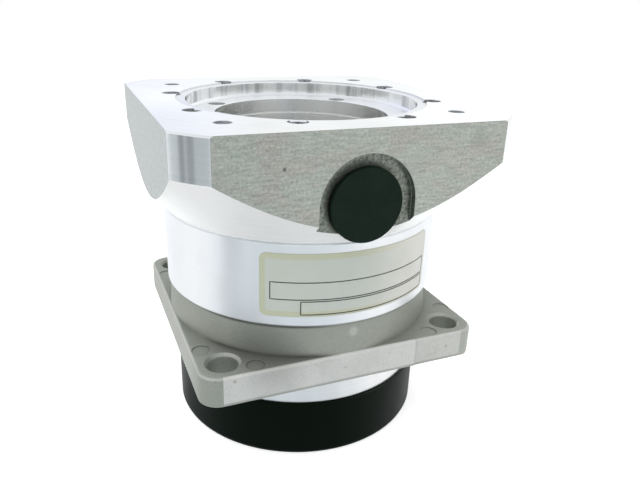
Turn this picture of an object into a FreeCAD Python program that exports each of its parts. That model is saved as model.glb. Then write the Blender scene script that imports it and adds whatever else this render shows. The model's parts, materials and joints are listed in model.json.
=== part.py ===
import FreeCAD, Part
import math
import os

# Two-stage planetary gearhead with a square mounting flange, a motor adapter and a shipping cap.
# Millimetres. The origin is on the output axis in the mounting face, +Z points to the motor,
# and the access plug faces -Y.

# output casing: square flange, boss above it, pilot and nose below it
FLANGE_MARGIN = 0.25
FLANGE_THICK = 9.3
FLANGE_CORNER = 6.0
FLANGE_EDGE = 1.1
BOLT_INSET = 7.877
BOLT_HOLE = 9.0
BOLT_BREAK = 0.8
MARK_DIA = 5.5
MARK_DEPTH = 0.25
MARK_OFFSET = 9.6
MARK_ANGLE = 63.0
TRIM_START = 22.5
TRIM_DEPTH = 0.25
BOSS_STEP = 1.05
BOSS_HEIGHT = 10.0
BOSS_DRAFT = 0.7
PILOT_STEP = 1.2
PILOT_LENGTH = 9.25
NOSE_WALL = 3.3
OUTPUT_REACH = 26.7
OUTPUT_STEP = 2.5
EDGE_BREAK = 0.5

# gear case and its label
CASE_DIA = 89.5
CASE_WALL = 7.25
LABEL_LENGTH = 58.4
LABEL_HEIGHT = 19.4
LABEL_BASE = 3.35
LABEL_THICK = 0.15
LABEL_CORNER = 2.0
LABEL_ANGLE = -88.0

# motor adapter
ADAPTER_SIDE = 100.0
ADAPTER_TURNED_DIA = 130.0
ADAPTER_HEIGHT = 32.6
ADAPTER_LIP = 0.35
MOTOR_PILOT_DIA = 73.1
MOTOR_PILOT_DEPTH = 5.0
MOTOR_PILOT_ROOT = 0.8
FACE_RELIEF_WIDTH = 2.95
FACE_RELIEF_DEPTH = 0.5
ADAPTER_BORE_INSET = 3.75
ADAPTER_BORE_DEPTH = 9.8
ADAPTER_BORE_STEP = 0.75
MOTOR_BOLT_CIRCLE = 98.43
MOTOR_BOLT = 5.0
MOTOR_BOLT_DEPTH = 16.0
SLOT_WIDTH = 28.0
SLOT_DEPTH = 2.0
SLOT_RISE = 0.3

# access hole and its rubber plug
ACCESS_DIA = 16.4
PLUG_HEAD_DIA = 21.1
PLUG_HEAD_THICK = 1.5
PLUG_STEM_LENGTH = 9.0
PLUG_WALL = 1.8

# shipping cap over the nose
CAP_WALL = 1.85
CAP_FLOOR = 1.0
CAP_RIM_GAP = 0.1
CAP_EDGE = 1.2
CAP_EDGE_ROUND = 0.36

# fasteners: shank, head, head height and key size; a socket's depth is a share of its head
SOCKET_SHARE = 0.6
SMALL_SCREW = 3.0
SMALL_HEAD = 5.5
SMALL_HEAD_HEIGHT = 3.0
SMALL_KEY = 2.5
CARRIER_SCREW = 5.0
CARRIER_HEAD = 8.5
CARRIER_HEAD_HEIGHT = 3.6
CARRIER_KEY = 4.0
CASE_BOLT_INSET = 3.25
CASE_BOLT_COUNT = 8
CASE_BOLT_GRIP = 8.0
CASE_BOLT_ENTRY = 11.5
PLATE_SCREW_INSET = 6.0
PLATE_SCREW_COUNT = 4
PLATE_SCREW_GRIP = 7.0
PLATE_SCREW_ENTRY = 5.5
DOWEL_DIA = 3.0
DOWEL_REACH = 5.0

# gears: one module and one ring for both stages
RING_WALL = 4.23
ROOT_SHARE = 1.25
PRESSURE_ANGLE = 20.0
RING_TEETH = 64
SUN1_TEETH = 20
SUN2_TEETH = 16
PLANET_COUNT = 4
TOOTH_THINNING = 0.12
PLANET1_WIDTH = 8.0
PLANET2_WIDTH = 13.0
PIN1_DIA = 7.0
PIN2_DIA = 8.0
BUSH_WALL = 1.5
WASHER_THICK = 0.5
WASHER_WIDTH = 2.8
END_PLAY = 0.15

# carriers
CARRIER_GAP = 1.0
CHEEK2_FRONT = 6.5
CHEEK2_REAR = 4.2
CHEEK1_FRONT = 4.5
CHEEK1_REAR = 2.5
POST_DIA = 6.0
POST_INSET = 0.5
POST_ENTRY = 6.0
POST_HEAD_HEIGHT = 1.6
STAGE_GAP = 1.0
CARRIER_SCREW_INSET = 6.5
CARRIER_SCREW_ENTRY = 8.0
SUN2_SHAFT = 12.0

# output flange, its seal and its crossed roller bearing
OUTPUT_HUB_GAP = 4.5
OUTPUT_BOLT_INSET = 7.0
OUTPUT_BOLT = 6.0
OUTPUT_BOLT_COUNT = 6
OUTPUT_BOLT_DEPTH = 10.0
OUTPUT_SPIGOT_DIA = 24.0
OUTPUT_SPIGOT_DEPTH = 4.0
OUTPUT_BORE = 16.0
BORE_PLUG_THICK = 3.0
SEAL_SET = 0.4
SEAL_WIDTH = 6.0
SEAL_STEP = 1.0
SEAL_WALL = 1.4
SEAL_NECK_SHARE = 0.3
SEAL_SHOULDER_WIDTH = 2.0
SEAL_SHOULDER = 1.8
ROLLER_BEARING_STEP = 0.5
ROLLER_BEARING_SECTION = 12.0
ROLLER_BEARING_WIDTH = 11.0
ROLLER_DIA = 5.5
ROLLER_LENGTH = 5.2
ROLLER_COUNT = 30
RACE_GAP = 1.2
SNAP_RING_THICK = 1.5
SNAP_RING_BITE = 1.3
SNAP_RING_WIDTH = 3.6

# input plate, ball bearing and seal
PLATE_GAP = 0.9
PLATE_THICK = 6.8
PLATE_BOSS_WALL = 6.0
PLATE_LIP = 0.8
PLATE_LIP_WIDTH = 2.6
BALL_BEARING_DIA = 32.0
BALL_BEARING_SECTION = 6.0
BALL_BEARING_WIDTH = 7.0
BALL_DIA = 3.5
BALL_COUNT = 12
BALL_RING_WALL = 2.2
CAGE_WALL = 1.1
CAGE_WIDTH = 4.6
CLIP_THICK = 1.0
CLIP_BITE = 0.8
CLIP_WIDTH = 2.0
INPUT_SEAL_WIDTH = 3.4
CORD_DIA = 1.4

# clamp hub on the motor shaft
MOTOR_SHAFT = 9.525
MOTOR_SHAFT_DEPTH = 18.0
COLLAR_DIA = 33.0
COLLAR_HEIGHT = 11.2
COLLAR_GAP = 0.5
COLLAR_SLIT = 1.5
CLAMP_DROP = 0.4
SEAL_JOURNAL_STEP = 0.8
HUB_TAIL = 1.4
HUB_WEB = 1.5
SUN1_STEM = 9.0
CLAMP_WALL = 0.45
CLAMP_SEAT = 5.5
CLAMP_LENGTH = 14.0

# clearances
SEAT_GAP = 0.02
THREAD_GAP = 0.04
HOLE_GAP = 0.2
RUN_GAP = 0.06
LIP_GAP = 0.08
PLUG_GAP = 0.1
CAP_GAP = 0.15
CAP_LIFT = 0.3
FIT_GAP = 0.3

# diameters that follow from the gear case
CASE_BORE = CASE_DIA - 2 * CASE_WALL
CASE_BOLT_CIRCLE = CASE_DIA - 2 * CASE_BOLT_INSET
FLANGE_SIDE = CASE_DIA + 2 * FLANGE_MARGIN
BOLT_CIRCLE = math.sqrt(2) * (FLANGE_SIDE - 2 * BOLT_INSET)
BOSS_DIA = CASE_DIA - 2 * BOSS_STEP
ROLLER_BEARING_DIA = CASE_BORE - 2 * ROLLER_BEARING_STEP
ROLLER_BEARING_BORE = ROLLER_BEARING_DIA - 2 * ROLLER_BEARING_SECTION
NOSE_DIA = ROLLER_BEARING_DIA + 2 * NOSE_WALL
PILOT_DIA = NOSE_DIA + 2 * PILOT_STEP
SEAL_DIA = ROLLER_BEARING_DIA - 2 * SEAL_STEP
SEAL_SHOULDER_DIA = SEAL_DIA - 2 * SEAL_SHOULDER_WIDTH
OUTPUT_HUB_DIA = SEAL_SHOULDER_DIA - 2 * OUTPUT_HUB_GAP
OUTPUT_BOLT_CIRCLE = OUTPUT_HUB_DIA - 2 * OUTPUT_BOLT_INSET
CARRIER_SCREW_CIRCLE = ROLLER_BEARING_BORE - 2 * CARRIER_SCREW_INSET
PLATE_SCREW_CIRCLE = CASE_BORE - 2 * PLATE_SCREW_INSET
ADAPTER_BORE = PLATE_SCREW_CIRCLE - 2 * ADAPTER_BORE_INSET
ADAPTER_LOWER_BORE = ADAPTER_BORE - 2 * ADAPTER_BORE_STEP

# diameters that follow from the motor pilot and from the ball bearing
FACE_RELIEF_DIA = MOTOR_PILOT_DIA + 2 * FACE_RELIEF_WIDTH
BALL_BEARING_BORE = BALL_BEARING_DIA - 2 * BALL_BEARING_SECTION
PLATE_BOSS_DIA = BALL_BEARING_DIA + 2 * PLATE_BOSS_WALL
SEAL_JOURNAL_DIA = BALL_BEARING_BORE + 2 * SEAL_JOURNAL_STEP

# levels along the axis, from the output face up to the motor face
OUTPUT_FACE = -OUTPUT_REACH
NOSE_FACE = OUTPUT_FACE + OUTPUT_STEP
SEAL_FRONT = NOSE_FACE + SEAL_SET
SEAL_BACK = SEAL_FRONT + SEAL_WIDTH
ROLLER_FRONT = SEAL_BACK + SEAL_SHOULDER
ROLLER_BACK = ROLLER_FRONT + ROLLER_BEARING_WIDTH
CHEEK2_TOP = ROLLER_BACK + CHEEK2_FRONT
PLANET2_BASE = CHEEK2_TOP + WASHER_THICK + END_PLAY
PLANET2_TOP = PLANET2_BASE + PLANET2_WIDTH
REAR2_BASE = PLANET2_TOP + END_PLAY + WASHER_THICK
REAR2_TOP = REAR2_BASE + CHEEK2_REAR
CHEEK1_BASE = REAR2_TOP + STAGE_GAP
CHEEK1_TOP = CHEEK1_BASE + CHEEK1_FRONT
PLANET1_BASE = CHEEK1_TOP + WASHER_THICK + END_PLAY
PLANET1_TOP = PLANET1_BASE + PLANET1_WIDTH
REAR1_BASE = PLANET1_TOP + END_PLAY + WASHER_THICK
REAR1_TOP = REAR1_BASE + CHEEK1_REAR
RING_BASE = CHEEK2_TOP + FIT_GAP
RING_TOP = PLANET1_TOP + FIT_GAP
CASING_TOP = FLANGE_THICK + BOSS_HEIGHT
PLATE_BASE = REAR1_TOP + PLATE_GAP
CASE_TOP = PLATE_BASE + PLATE_THICK
BALL_BASE = PLATE_BASE + PLATE_LIP
BALL_TOP = BALL_BASE + BALL_BEARING_WIDTH
CLIP_TOP = BALL_TOP + CLIP_THICK
INPUT_SEAL_BASE = CLIP_TOP + FIT_GAP
INPUT_SEAL_TOP = INPUT_SEAL_BASE + INPUT_SEAL_WIDTH
PLATE_TOP = INPUT_SEAL_TOP + FIT_GAP
COLLAR_BASE = PLATE_TOP + COLLAR_GAP
COLLAR_TOP = COLLAR_BASE + COLLAR_HEIGHT
ACCESS_Z = (COLLAR_BASE + COLLAR_TOP) / 2 - CLAMP_DROP
SLOT_Z = ACCESS_Z + SLOT_RISE
ADAPTER_TOP = CASE_TOP + ADAPTER_HEIGHT
MOTOR_PILOT_FLOOR = ADAPTER_TOP - MOTOR_PILOT_DEPTH
HUB_BASE = PLATE_BASE - HUB_TAIL
HUB_BORE_FLOOR = COLLAR_TOP - MOTOR_SHAFT_DEPTH
STEM_TOP = HUB_BORE_FLOOR - HUB_WEB
CASE_BOLT_SEAT = CASE_TOP + CASE_BOLT_GRIP
CASE_BOLT_END = CASING_TOP - CASE_BOLT_ENTRY
PLATE_SCREW_SEAT = CASE_TOP + PLATE_SCREW_GRIP
CAP_FACE = OUTPUT_FACE - CAP_LIFT
CAP_BASE = CAP_FACE - CAP_FLOOR
CAP_RIM = -PILOT_LENGTH - CAP_RIM_GAP

# sizes that follow from the gear teeth, which fill the ring inside the case bore
RING_DIA = CASE_BORE - 2 * SEAT_GAP
MODULE = (RING_DIA - 2 * RING_WALL) / (RING_TEETH + 2 * ROOT_SHARE)
RING_PITCH = MODULE * RING_TEETH / 2
PLANET1_TEETH = (RING_TEETH - SUN1_TEETH) // 2
PLANET2_TEETH = (RING_TEETH - SUN2_TEETH) // 2
ARM1 = MODULE * (SUN1_TEETH + PLANET1_TEETH) / 2
ARM2 = MODULE * (SUN2_TEETH + PLANET2_TEETH) / 2
ADDENDUM = MODULE
DEDENDUM = ROOT_SHARE * MODULE
CARRIER_RADIUS = RING_PITCH - ADDENDUM - CARRIER_GAP
POST_RADIUS = CARRIER_RADIUS - POST_DIA / 2 - POST_INSET
POST_ANGLE = 180.0 / PLANET_COUNT
CASE_BOLT_ANGLE = 180.0 / CASE_BOLT_COUNT
PLATE_SCREW_ANGLE = 180.0 / PLATE_SCREW_COUNT
CLAMP_X = -(MOTOR_SHAFT / 2 + SMALL_SCREW / 2 + CLAMP_WALL)
SLOT_FLOOR_Y = -(ADAPTER_SIDE / 2 - SLOT_DEPTH)

ORIGIN = FreeCAD.Vector(0, 0, 0)
UP = FreeCAD.Vector(0, 0, 1)


def rod(dia, low, high, x=0.0, y=0.0):
    return Part.makeCylinder(dia / 2, high - low, FreeCAD.Vector(x, y, low), UP)


def rod_y(dia, front, back, x, z):
    """A round bar along Y."""
    return Part.makeCylinder(dia / 2, back - front, FreeCAD.Vector(x, front, z), FreeCAD.Vector(0, 1, 0))


def tube(outer, inner, low, high, x=0.0, y=0.0):
    return rod(outer, low, high, x, y).cut(rod(inner, low, high, x, y))


def block(x0, x1, y0, y1, z0, z1):
    return Part.makeBox(x1 - x0, y1 - y0, z1 - z0, FreeCAD.Vector(x0, y0, z0))


def turned(profile):
    """A solid of revolution about Z from (radius, level) corners."""
    points = [FreeCAD.Vector(r, 0, z) for r, z in profile]
    wire = Part.makePolygon(points + points[:1])
    return Part.Face(wire).revolve(ORIGIN, UP, 360)


def torus(centre_dia, section_dia, level):
    return Part.makeTorus(centre_dia / 2, section_dia / 2, FreeCAD.Vector(0, 0, level), UP)


def turn(shape, degrees):
    copy = shape.copy()
    copy.rotate(ORIGIN, UP, degrees)
    return copy


def ring_of(shape, count, first=0.0):
    """Equally spaced copies of a shape around Z."""
    return [turn(shape, first + i * 360.0 / count) for i in range(count)]


def cut_all(shape, tools):
    return shape.cut(Part.makeCompound(tools))


def on_corners(circle, make):
    """One shape at each corner of the square whose corners lie on a circle."""
    reach = circle / 2 / math.sqrt(2)
    return [make(sx * reach, sy * reach) for sx in (-1, 1) for sy in (-1, 1)]


def hex_prism(across, low, high):
    corner = across / math.sqrt(3)
    angles = [math.radians(60 * i) for i in range(7)]
    points = [FreeCAD.Vector(corner * math.cos(a), corner * math.sin(a), low) for a in angles]
    return Part.Face(Part.makePolygon(points)).extrude(FreeCAD.Vector(0, 0, high - low))


def socket_screw(shank, head, head_height, key, seat, end):
    """A screw pointing down, with its head on the level seat and its tip on the level end."""
    top = seat + head_height
    socket = hex_prism(key, top - SOCKET_SHARE * head_height, top)
    return rod(head, seat, top).fuse(rod(shank, end, seat)).cut(socket)


def moved(shape, x, y, z=0.0):
    copy = shape.copy()
    copy.translate(FreeCAD.Vector(x, y, z))
    return copy


def involute(angle):
    return math.tan(angle) - angle


def gear_prism(teeth, root, tip, thinning, phase, low, high):
    """A toothed prism with its first tooth on the angle phase; each flank is one arc."""
    pitch = MODULE * teeth / 2
    base = pitch * math.cos(math.radians(PRESSURE_ANGLE))
    half_pitch_angle = (math.pi * MODULE / 2 - thinning) / 2 / pitch
    rolled = involute(math.radians(PRESSURE_ANGLE))

    def half_angle(radius):
        reach = math.acos(min(1.0, base / max(radius, base)))
        return half_pitch_angle + rolled - involute(reach)

    def point(radius, angle):
        return FreeCAD.Vector(radius * math.cos(angle), radius * math.sin(angle), low)

    step = 2 * math.pi / teeth
    edges = []
    for i in range(teeth):
        centre = phase + i * step
        foot, waist, crest = half_angle(root), half_angle(pitch), half_angle(tip)
        rise = [point(root, centre - foot), point(pitch, centre - waist), point(tip, centre - crest)]
        land = [rise[2], point(tip, centre), point(tip, centre + crest)]
        fall = [land[2], point(pitch, centre + waist), point(root, centre + foot)]
        valley = [fall[2], point(root, centre + step / 2), point(root, centre + step - foot)]
        edges += [Part.Arc(*three).toShape() for three in (rise, land, fall, valley)]
    face = Part.Face(Part.Wire(edges))
    return face.extrude(FreeCAD.Vector(0, 0, high - low))


def outer_gear(teeth, low, high, phase=0.0):
    pitch = MODULE * teeth / 2
    return gear_prism(teeth, pitch - DEDENDUM, pitch + ADDENDUM, TOOTH_THINNING, phase, low, high)


def rounded_plate(side, corner, low, high):
    plate = block(-side / 2, side / 2, -side / 2, side / 2, low, high)
    uprights = [e for e in plate.Edges if abs(e.Vertexes[0].Z - e.Vertexes[1].Z) > (high - low) / 2]
    return plate.makeFillet(corner, uprights)


def top_edges(shape, level):
    return [e for e in shape.Edges if all(abs(v.Z - level) < 1e-6 for v in e.Vertexes)]


def output_casing():
    flange = rounded_plate(FLANGE_SIDE, FLANGE_CORNER, 0, FLANGE_THICK)
    half = FLANGE_SIDE / 2
    flange = flange.cut(block(TRIM_START, half, -half, -half + TRIM_DEPTH, 0, FLANGE_THICK))
    flange = flange.makeFillet(FLANGE_EDGE, top_edges(flange, FLANGE_THICK))
    boss_r = BOSS_DIA / 2
    boss = turned([
        (0, 0),
        (boss_r, 0),
        (boss_r, FLANGE_THICK - FLANGE_EDGE),
        (boss_r + BOSS_DRAFT, FLANGE_THICK - FLANGE_EDGE),
        (boss_r + BOSS_DRAFT, FLANGE_THICK),
        (boss_r, CASING_TOP),
        (0, CASING_TOP),
    ])
    pilot_r, nose_r = PILOT_DIA / 2, NOSE_DIA / 2
    nose = turned([
        (0, FLANGE_THICK / 2),
        (pilot_r, FLANGE_THICK / 2),
        (pilot_r, -PILOT_LENGTH),
        (nose_r, -PILOT_LENGTH),
        (nose_r, NOSE_FACE + EDGE_BREAK),
        (nose_r - EDGE_BREAK, NOSE_FACE),
        (0, NOSE_FACE),
    ])
    seal_r, shoulder_r = SEAL_DIA / 2 + SEAT_GAP, SEAL_SHOULDER_DIA / 2
    seat_r, ring_r = ROLLER_BEARING_DIA / 2 + SEAT_GAP, CASE_BORE / 2
    groove_r = seat_r + SNAP_RING_BITE
    groove_top = ROLLER_BACK + SNAP_RING_THICK + SEAT_GAP
    inside = turned([
        (0, NOSE_FACE),
        (seal_r, NOSE_FACE),
        (seal_r, SEAL_BACK),
        (shoulder_r, SEAL_BACK),
        (shoulder_r, ROLLER_FRONT),
        (seat_r, ROLLER_FRONT),
        (seat_r, ROLLER_BACK),
        (groove_r, ROLLER_BACK),
        (groove_r, groove_top),
        (seat_r, groove_top),
        (seat_r, RING_BASE),
        (ring_r, RING_BASE),
        (ring_r, CASING_TOP),
        (0, CASING_TOP),
    ])
    casing = flange.fuse(boss).fuse(nose).removeSplitter().cut(inside)
    return cut_all(casing, casing_holes())


def casing_holes():
    def through(x, y):
        hole = rod(BOLT_HOLE, 0, FLANGE_THICK, x, y)
        wide = BOLT_HOLE / 2 + BOLT_BREAK
        start = FreeCAD.Vector(x, y, FLANGE_THICK - BOLT_BREAK)
        mouth = Part.makeCone(BOLT_HOLE / 2, wide, BOLT_BREAK, start)
        return hole.fuse(mouth)

    def marks(x, y):
        along = MARK_OFFSET * math.cos(math.radians(MARK_ANGLE))
        across = MARK_OFFSET * math.sin(math.radians(MARK_ANGLE))
        out_x, out_y = math.copysign(1, x), math.copysign(1, y)
        floor = FLANGE_THICK - MARK_DEPTH
        one = rod(MARK_DIA, floor, FLANGE_THICK, x + out_x * along, y - out_y * across)
        other = rod(MARK_DIA, floor, FLANGE_THICK, x - out_x * across, y + out_y * along)
        return Part.makeCompound([one, other])

    tapped = SMALL_SCREW + 2 * THREAD_GAP
    bolt = rod(tapped, CASE_BOLT_END, CASING_TOP, CASE_BOLT_CIRCLE / 2)
    dowel = rod(DOWEL_DIA + 2 * SEAT_GAP, CASING_TOP - DOWEL_REACH, CASING_TOP, CASE_BOLT_CIRCLE / 2)
    return (
        on_corners(BOLT_CIRCLE, through)
        + on_corners(BOLT_CIRCLE, marks)
        + ring_of(bolt, CASE_BOLT_COUNT, CASE_BOLT_ANGLE)
        + ring_of(dowel, 2)
        + [cord_groove_face()]
    )


def cord_groove_face():
    """Groove for the seal ring between casing and gear case, beside the bore."""
    inner = CASE_BORE + 2 * FIT_GAP
    return tube(inner + 2 * (CORD_DIA + 2 * SEAT_GAP), inner, CASING_TOP - CORD_DIA, CASING_TOP)


def case_seal_ring():
    inner = CASE_BORE + 2 * FIT_GAP
    return torus(inner + CORD_DIA + 2 * SEAT_GAP, CORD_DIA, CASING_TOP - CORD_DIA / 2)


def gear_case():
    outer, bore = CASE_DIA / 2, CASE_BORE / 2
    shell = turned([
        (bore, CASING_TOP),
        (outer - EDGE_BREAK, CASING_TOP),
        (outer, CASING_TOP + EDGE_BREAK),
        (outer, CASE_TOP - EDGE_BREAK),
        (outer - EDGE_BREAK, CASE_TOP),
        (bore, CASE_TOP),
    ])
    clearance = SMALL_SCREW + 2 * HOLE_GAP
    bolt = rod(clearance, CASING_TOP, CASE_TOP, CASE_BOLT_CIRCLE / 2)
    dowel = rod(DOWEL_DIA + 2 * SEAT_GAP, CASING_TOP, CASING_TOP + DOWEL_REACH, CASE_BOLT_CIRCLE / 2)
    return cut_all(shell, ring_of(bolt, CASE_BOLT_COUNT, CASE_BOLT_ANGLE) + ring_of(dowel, 2))


def rating_label():
    inner = CASE_DIA / 2
    span = math.degrees(LABEL_LENGTH / inner)
    low = CASING_TOP + LABEL_BASE
    corners = [
        FreeCAD.Vector(inner, 0, low),
        FreeCAD.Vector(inner + LABEL_THICK, 0, low),
        FreeCAD.Vector(inner + LABEL_THICK, 0, low + LABEL_HEIGHT),
        FreeCAD.Vector(inner, 0, low + LABEL_HEIGHT),
    ]
    sheet = Part.Face(Part.makePolygon(corners + corners[:1])).revolve(ORIGIN, UP, span)
    short = [e for e in sheet.Edges if e.Length < 2 * LABEL_THICK]
    return turn(sheet.makeFillet(LABEL_CORNER, short), LABEL_ANGLE - span / 2)


def ring_gear():
    blank = rod(RING_DIA, RING_BASE, RING_TOP)
    space = gear_prism(
        RING_TEETH, RING_PITCH - ADDENDUM, RING_PITCH + DEDENDUM, -TOOTH_THINNING, 0.0, RING_BASE, RING_TOP
    )
    return blank.cut(space)


def input_plate():
    rim, boss = CASE_BORE / 2 - SEAT_GAP, PLATE_BOSS_DIA / 2
    seat = BALL_BEARING_DIA / 2 + SEAT_GAP
    lip = BALL_BEARING_DIA / 2 - PLATE_LIP_WIDTH
    groove = seat + CLIP_BITE
    body = turned([
        (lip, PLATE_BASE),
        (rim, PLATE_BASE),
        (rim, CASE_TOP),
        (boss, CASE_TOP),
        (boss, PLATE_TOP - EDGE_BREAK),
        (boss - EDGE_BREAK, PLATE_TOP),
        (seat, PLATE_TOP),
        (seat, CLIP_TOP + SEAT_GAP),
        (groove, CLIP_TOP + SEAT_GAP),
        (groove, BALL_TOP),
        (seat, BALL_TOP),
        (seat, BALL_BASE),
        (lip, BALL_BASE),
    ])
    tapped = rod(SMALL_SCREW + 2 * THREAD_GAP, CASE_TOP - PLATE_SCREW_ENTRY, CASE_TOP, PLATE_SCREW_CIRCLE / 2)
    middle, reach = (PLATE_BASE + CASE_TOP) / 2, CORD_DIA / 2 + SEAT_GAP
    depth = CORD_DIA + SEAT_GAP
    channel = tube(2 * (rim + depth), 2 * (rim - depth), middle - reach, middle + reach)
    return cut_all(body, ring_of(tapped, PLATE_SCREW_COUNT, PLATE_SCREW_ANGLE) + [channel])


def plate_seal_ring():
    rim = CASE_BORE - 2 * SEAT_GAP
    return torus(rim - CORD_DIA, CORD_DIA, (PLATE_BASE + CASE_TOP) / 2)


def motor_adapter():
    half, turned_r, foot_r = ADAPTER_SIDE / 2, ADAPTER_TURNED_DIA / 2, CASE_DIA / 2
    cone_base = CASE_TOP + ADAPTER_LIP
    blank = turned([
        (0, CASE_TOP),
        (foot_r, CASE_TOP),
        (foot_r, cone_base),
        (turned_r, cone_base + turned_r - foot_r),
        (turned_r, ADAPTER_TOP - EDGE_BREAK),
        (turned_r - EDGE_BREAK, ADAPTER_TOP),
        (0, ADAPTER_TOP),
    ])
    body = blank.common(block(-half, half, -half, half, CASE_TOP, ADAPTER_TOP))
    pilot_r, relief_r = MOTOR_PILOT_DIA / 2, FACE_RELIEF_DIA / 2
    upper_r, lower_r = ADAPTER_BORE / 2, ADAPTER_LOWER_BORE / 2
    ledge = ADAPTER_TOP - ADAPTER_BORE_DEPTH
    inside = turned([
        (0, CASE_TOP),
        (lower_r, CASE_TOP),
        (lower_r, ledge),
        (upper_r, ledge),
        (upper_r, MOTOR_PILOT_FLOOR),
        (pilot_r - MOTOR_PILOT_ROOT, MOTOR_PILOT_FLOOR),
        (pilot_r, MOTOR_PILOT_FLOOR + MOTOR_PILOT_ROOT),
        (pilot_r, ADAPTER_TOP - FACE_RELIEF_DEPTH),
        (relief_r, ADAPTER_TOP - FACE_RELIEF_DEPTH),
        (relief_r, ADAPTER_TOP),
        (0, ADAPTER_TOP),
    ])
    return cut_all(body.cut(inside), adapter_holes() + [adapter_slot()])


def adapter_holes():
    clearance, well = SMALL_SCREW + 2 * HOLE_GAP, SMALL_HEAD + 2 * HOLE_GAP
    case_r, plate_r = CASE_BOLT_CIRCLE / 2, PLATE_SCREW_CIRCLE / 2
    case_hole = rod(clearance, CASE_TOP, CASE_BOLT_SEAT, case_r).fuse(
        rod(well, CASE_BOLT_SEAT, ADAPTER_TOP, case_r)
    )
    plate_hole = rod(clearance, CASE_TOP, PLATE_SCREW_SEAT, plate_r).fuse(
        rod(well, PLATE_SCREW_SEAT, MOTOR_PILOT_FLOOR, plate_r)
    )

    def motor_hole(x, y):
        return rod(MOTOR_BOLT, ADAPTER_TOP - MOTOR_BOLT_DEPTH, ADAPTER_TOP, x, y)

    access = rod_y(ACCESS_DIA, -ADAPTER_SIDE / 2, 0, 0, ACCESS_Z)
    return (
        ring_of(case_hole, CASE_BOLT_COUNT, CASE_BOLT_ANGLE)
        + ring_of(plate_hole, PLATE_SCREW_COUNT, PLATE_SCREW_ANGLE)
        + on_corners(MOTOR_BOLT_CIRCLE, motor_hole)
        + [access]
    )


def adapter_slot():
    """Arched pocket around the access hole, open into the cone below."""
    front = -ADAPTER_SIDE / 2
    arch = rod_y(SLOT_WIDTH, front, SLOT_FLOOR_Y, 0, SLOT_Z)
    return arch.fuse(block(-SLOT_WIDTH / 2, SLOT_WIDTH / 2, front, SLOT_FLOOR_Y, CASE_TOP, SLOT_Z))


def small_screw(seat, end, radius):
    return moved(socket_screw(SMALL_SCREW, SMALL_HEAD, SMALL_HEAD_HEIGHT, SMALL_KEY, seat, end), radius, 0)


def case_bolts():
    bolt = small_screw(CASE_BOLT_SEAT, CASE_BOLT_END + FIT_GAP, CASE_BOLT_CIRCLE / 2)
    return Part.makeCompound(ring_of(bolt, CASE_BOLT_COUNT, CASE_BOLT_ANGLE))


def plate_screws():
    screw = small_screw(PLATE_SCREW_SEAT, CASE_TOP - PLATE_SCREW_ENTRY + FIT_GAP, PLATE_SCREW_CIRCLE / 2)
    return Part.makeCompound(ring_of(screw, PLATE_SCREW_COUNT, PLATE_SCREW_ANGLE))


def dowel_pins():
    pin = rod(DOWEL_DIA, CASING_TOP - DOWEL_REACH, CASING_TOP + DOWEL_REACH, CASE_BOLT_CIRCLE / 2)
    return Part.makeCompound(ring_of(pin, 2))


def lip_seal(outer, journal, low, high):
    """A cased lip seal: a wall against the bore, a web, and a lip just off the journal."""
    edge = journal / 2 + LIP_GAP
    wall = outer / 2 - SEAL_WALL
    web = low + SEAL_WALL
    lip = (low + high) / 2
    neck = edge + SEAL_NECK_SHARE * (wall - edge)
    return turned([
        (outer / 2, low),
        (outer / 2, high),
        (wall, high),
        (wall, web),
        (neck + LIP_GAP, web),
        (neck, high - SEAL_WALL / 2),
        (edge + LIP_GAP, high - SEAL_WALL / 2),
        (edge, lip),
        (edge + LIP_GAP, low),
    ])


def race_profile(side):
    """The V-shaped race, seen on the outer ring for side 1 and on the inner ring for side -1."""
    centre = (ROLLER_BEARING_DIA + ROLLER_BEARING_BORE) / 4
    level = (ROLLER_FRONT + ROLLER_BACK) / 2
    reach = (ROLLER_DIA / 2 + RUN_GAP) * math.sqrt(2)
    mouth = RACE_GAP / 2
    return [
        (centre + side * mouth, level - reach + mouth),
        (centre + side * reach, level),
        (centre + side * mouth, level + reach - mouth),
    ]


def roller_outer_ring(front):
    """Half of the outer ring, which is split across the bottom of its race."""
    outer = ROLLER_BEARING_DIA / 2
    low, bottom, high = race_profile(1)
    if front:
        return turned([(outer, ROLLER_FRONT), (outer, bottom[1]), bottom, low, (low[0], ROLLER_FRONT)])
    return turned([(outer, bottom[1]), (outer, ROLLER_BACK), (high[0], ROLLER_BACK), high, bottom])


def roller_inner_ring():
    bore = ROLLER_BEARING_BORE / 2 + SEAT_GAP
    low, bottom, high = race_profile(-1)
    return turned([
        (bore, ROLLER_FRONT),
        (low[0], ROLLER_FRONT),
        low,
        bottom,
        high,
        (high[0], ROLLER_BACK),
        (bore, ROLLER_BACK),
    ])


def output_rollers():
    """Rollers that lean inwards and outwards by turns."""
    radius, level = (ROLLER_BEARING_DIA + ROLLER_BEARING_BORE) / 4, (ROLLER_FRONT + ROLLER_BACK) / 2
    centre = FreeCAD.Vector(radius, 0, level)
    rollers = []
    for i in range(ROLLER_COUNT):
        lean = FreeCAD.Vector(1, 0, 1 if i % 2 else -1).normalize()
        start = centre - lean * (ROLLER_LENGTH / 2)
        roller = Part.makeCylinder(ROLLER_DIA / 2, ROLLER_LENGTH, start, lean)
        rollers.append(turn(roller, i * 360.0 / ROLLER_COUNT))
    return Part.makeCompound(rollers)


def snap_ring(outer, width, low, high, opening_side):
    """A retaining ring with a gap for the pliers on the +X or -X side."""
    ring = tube(outer, outer - 2 * width, low, high)
    near = opening_side * (outer / 2 - 2 * width)
    far = opening_side * (outer / 2 + width)
    return ring.cut(block(min(near, far), max(near, far), -width, width, low, high))


def casing_snap_ring():
    outer = ROLLER_BEARING_DIA + 2 * SNAP_RING_BITE
    return snap_ring(outer, SNAP_RING_WIDTH, ROLLER_BACK, ROLLER_BACK + SNAP_RING_THICK, 1)


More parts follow.
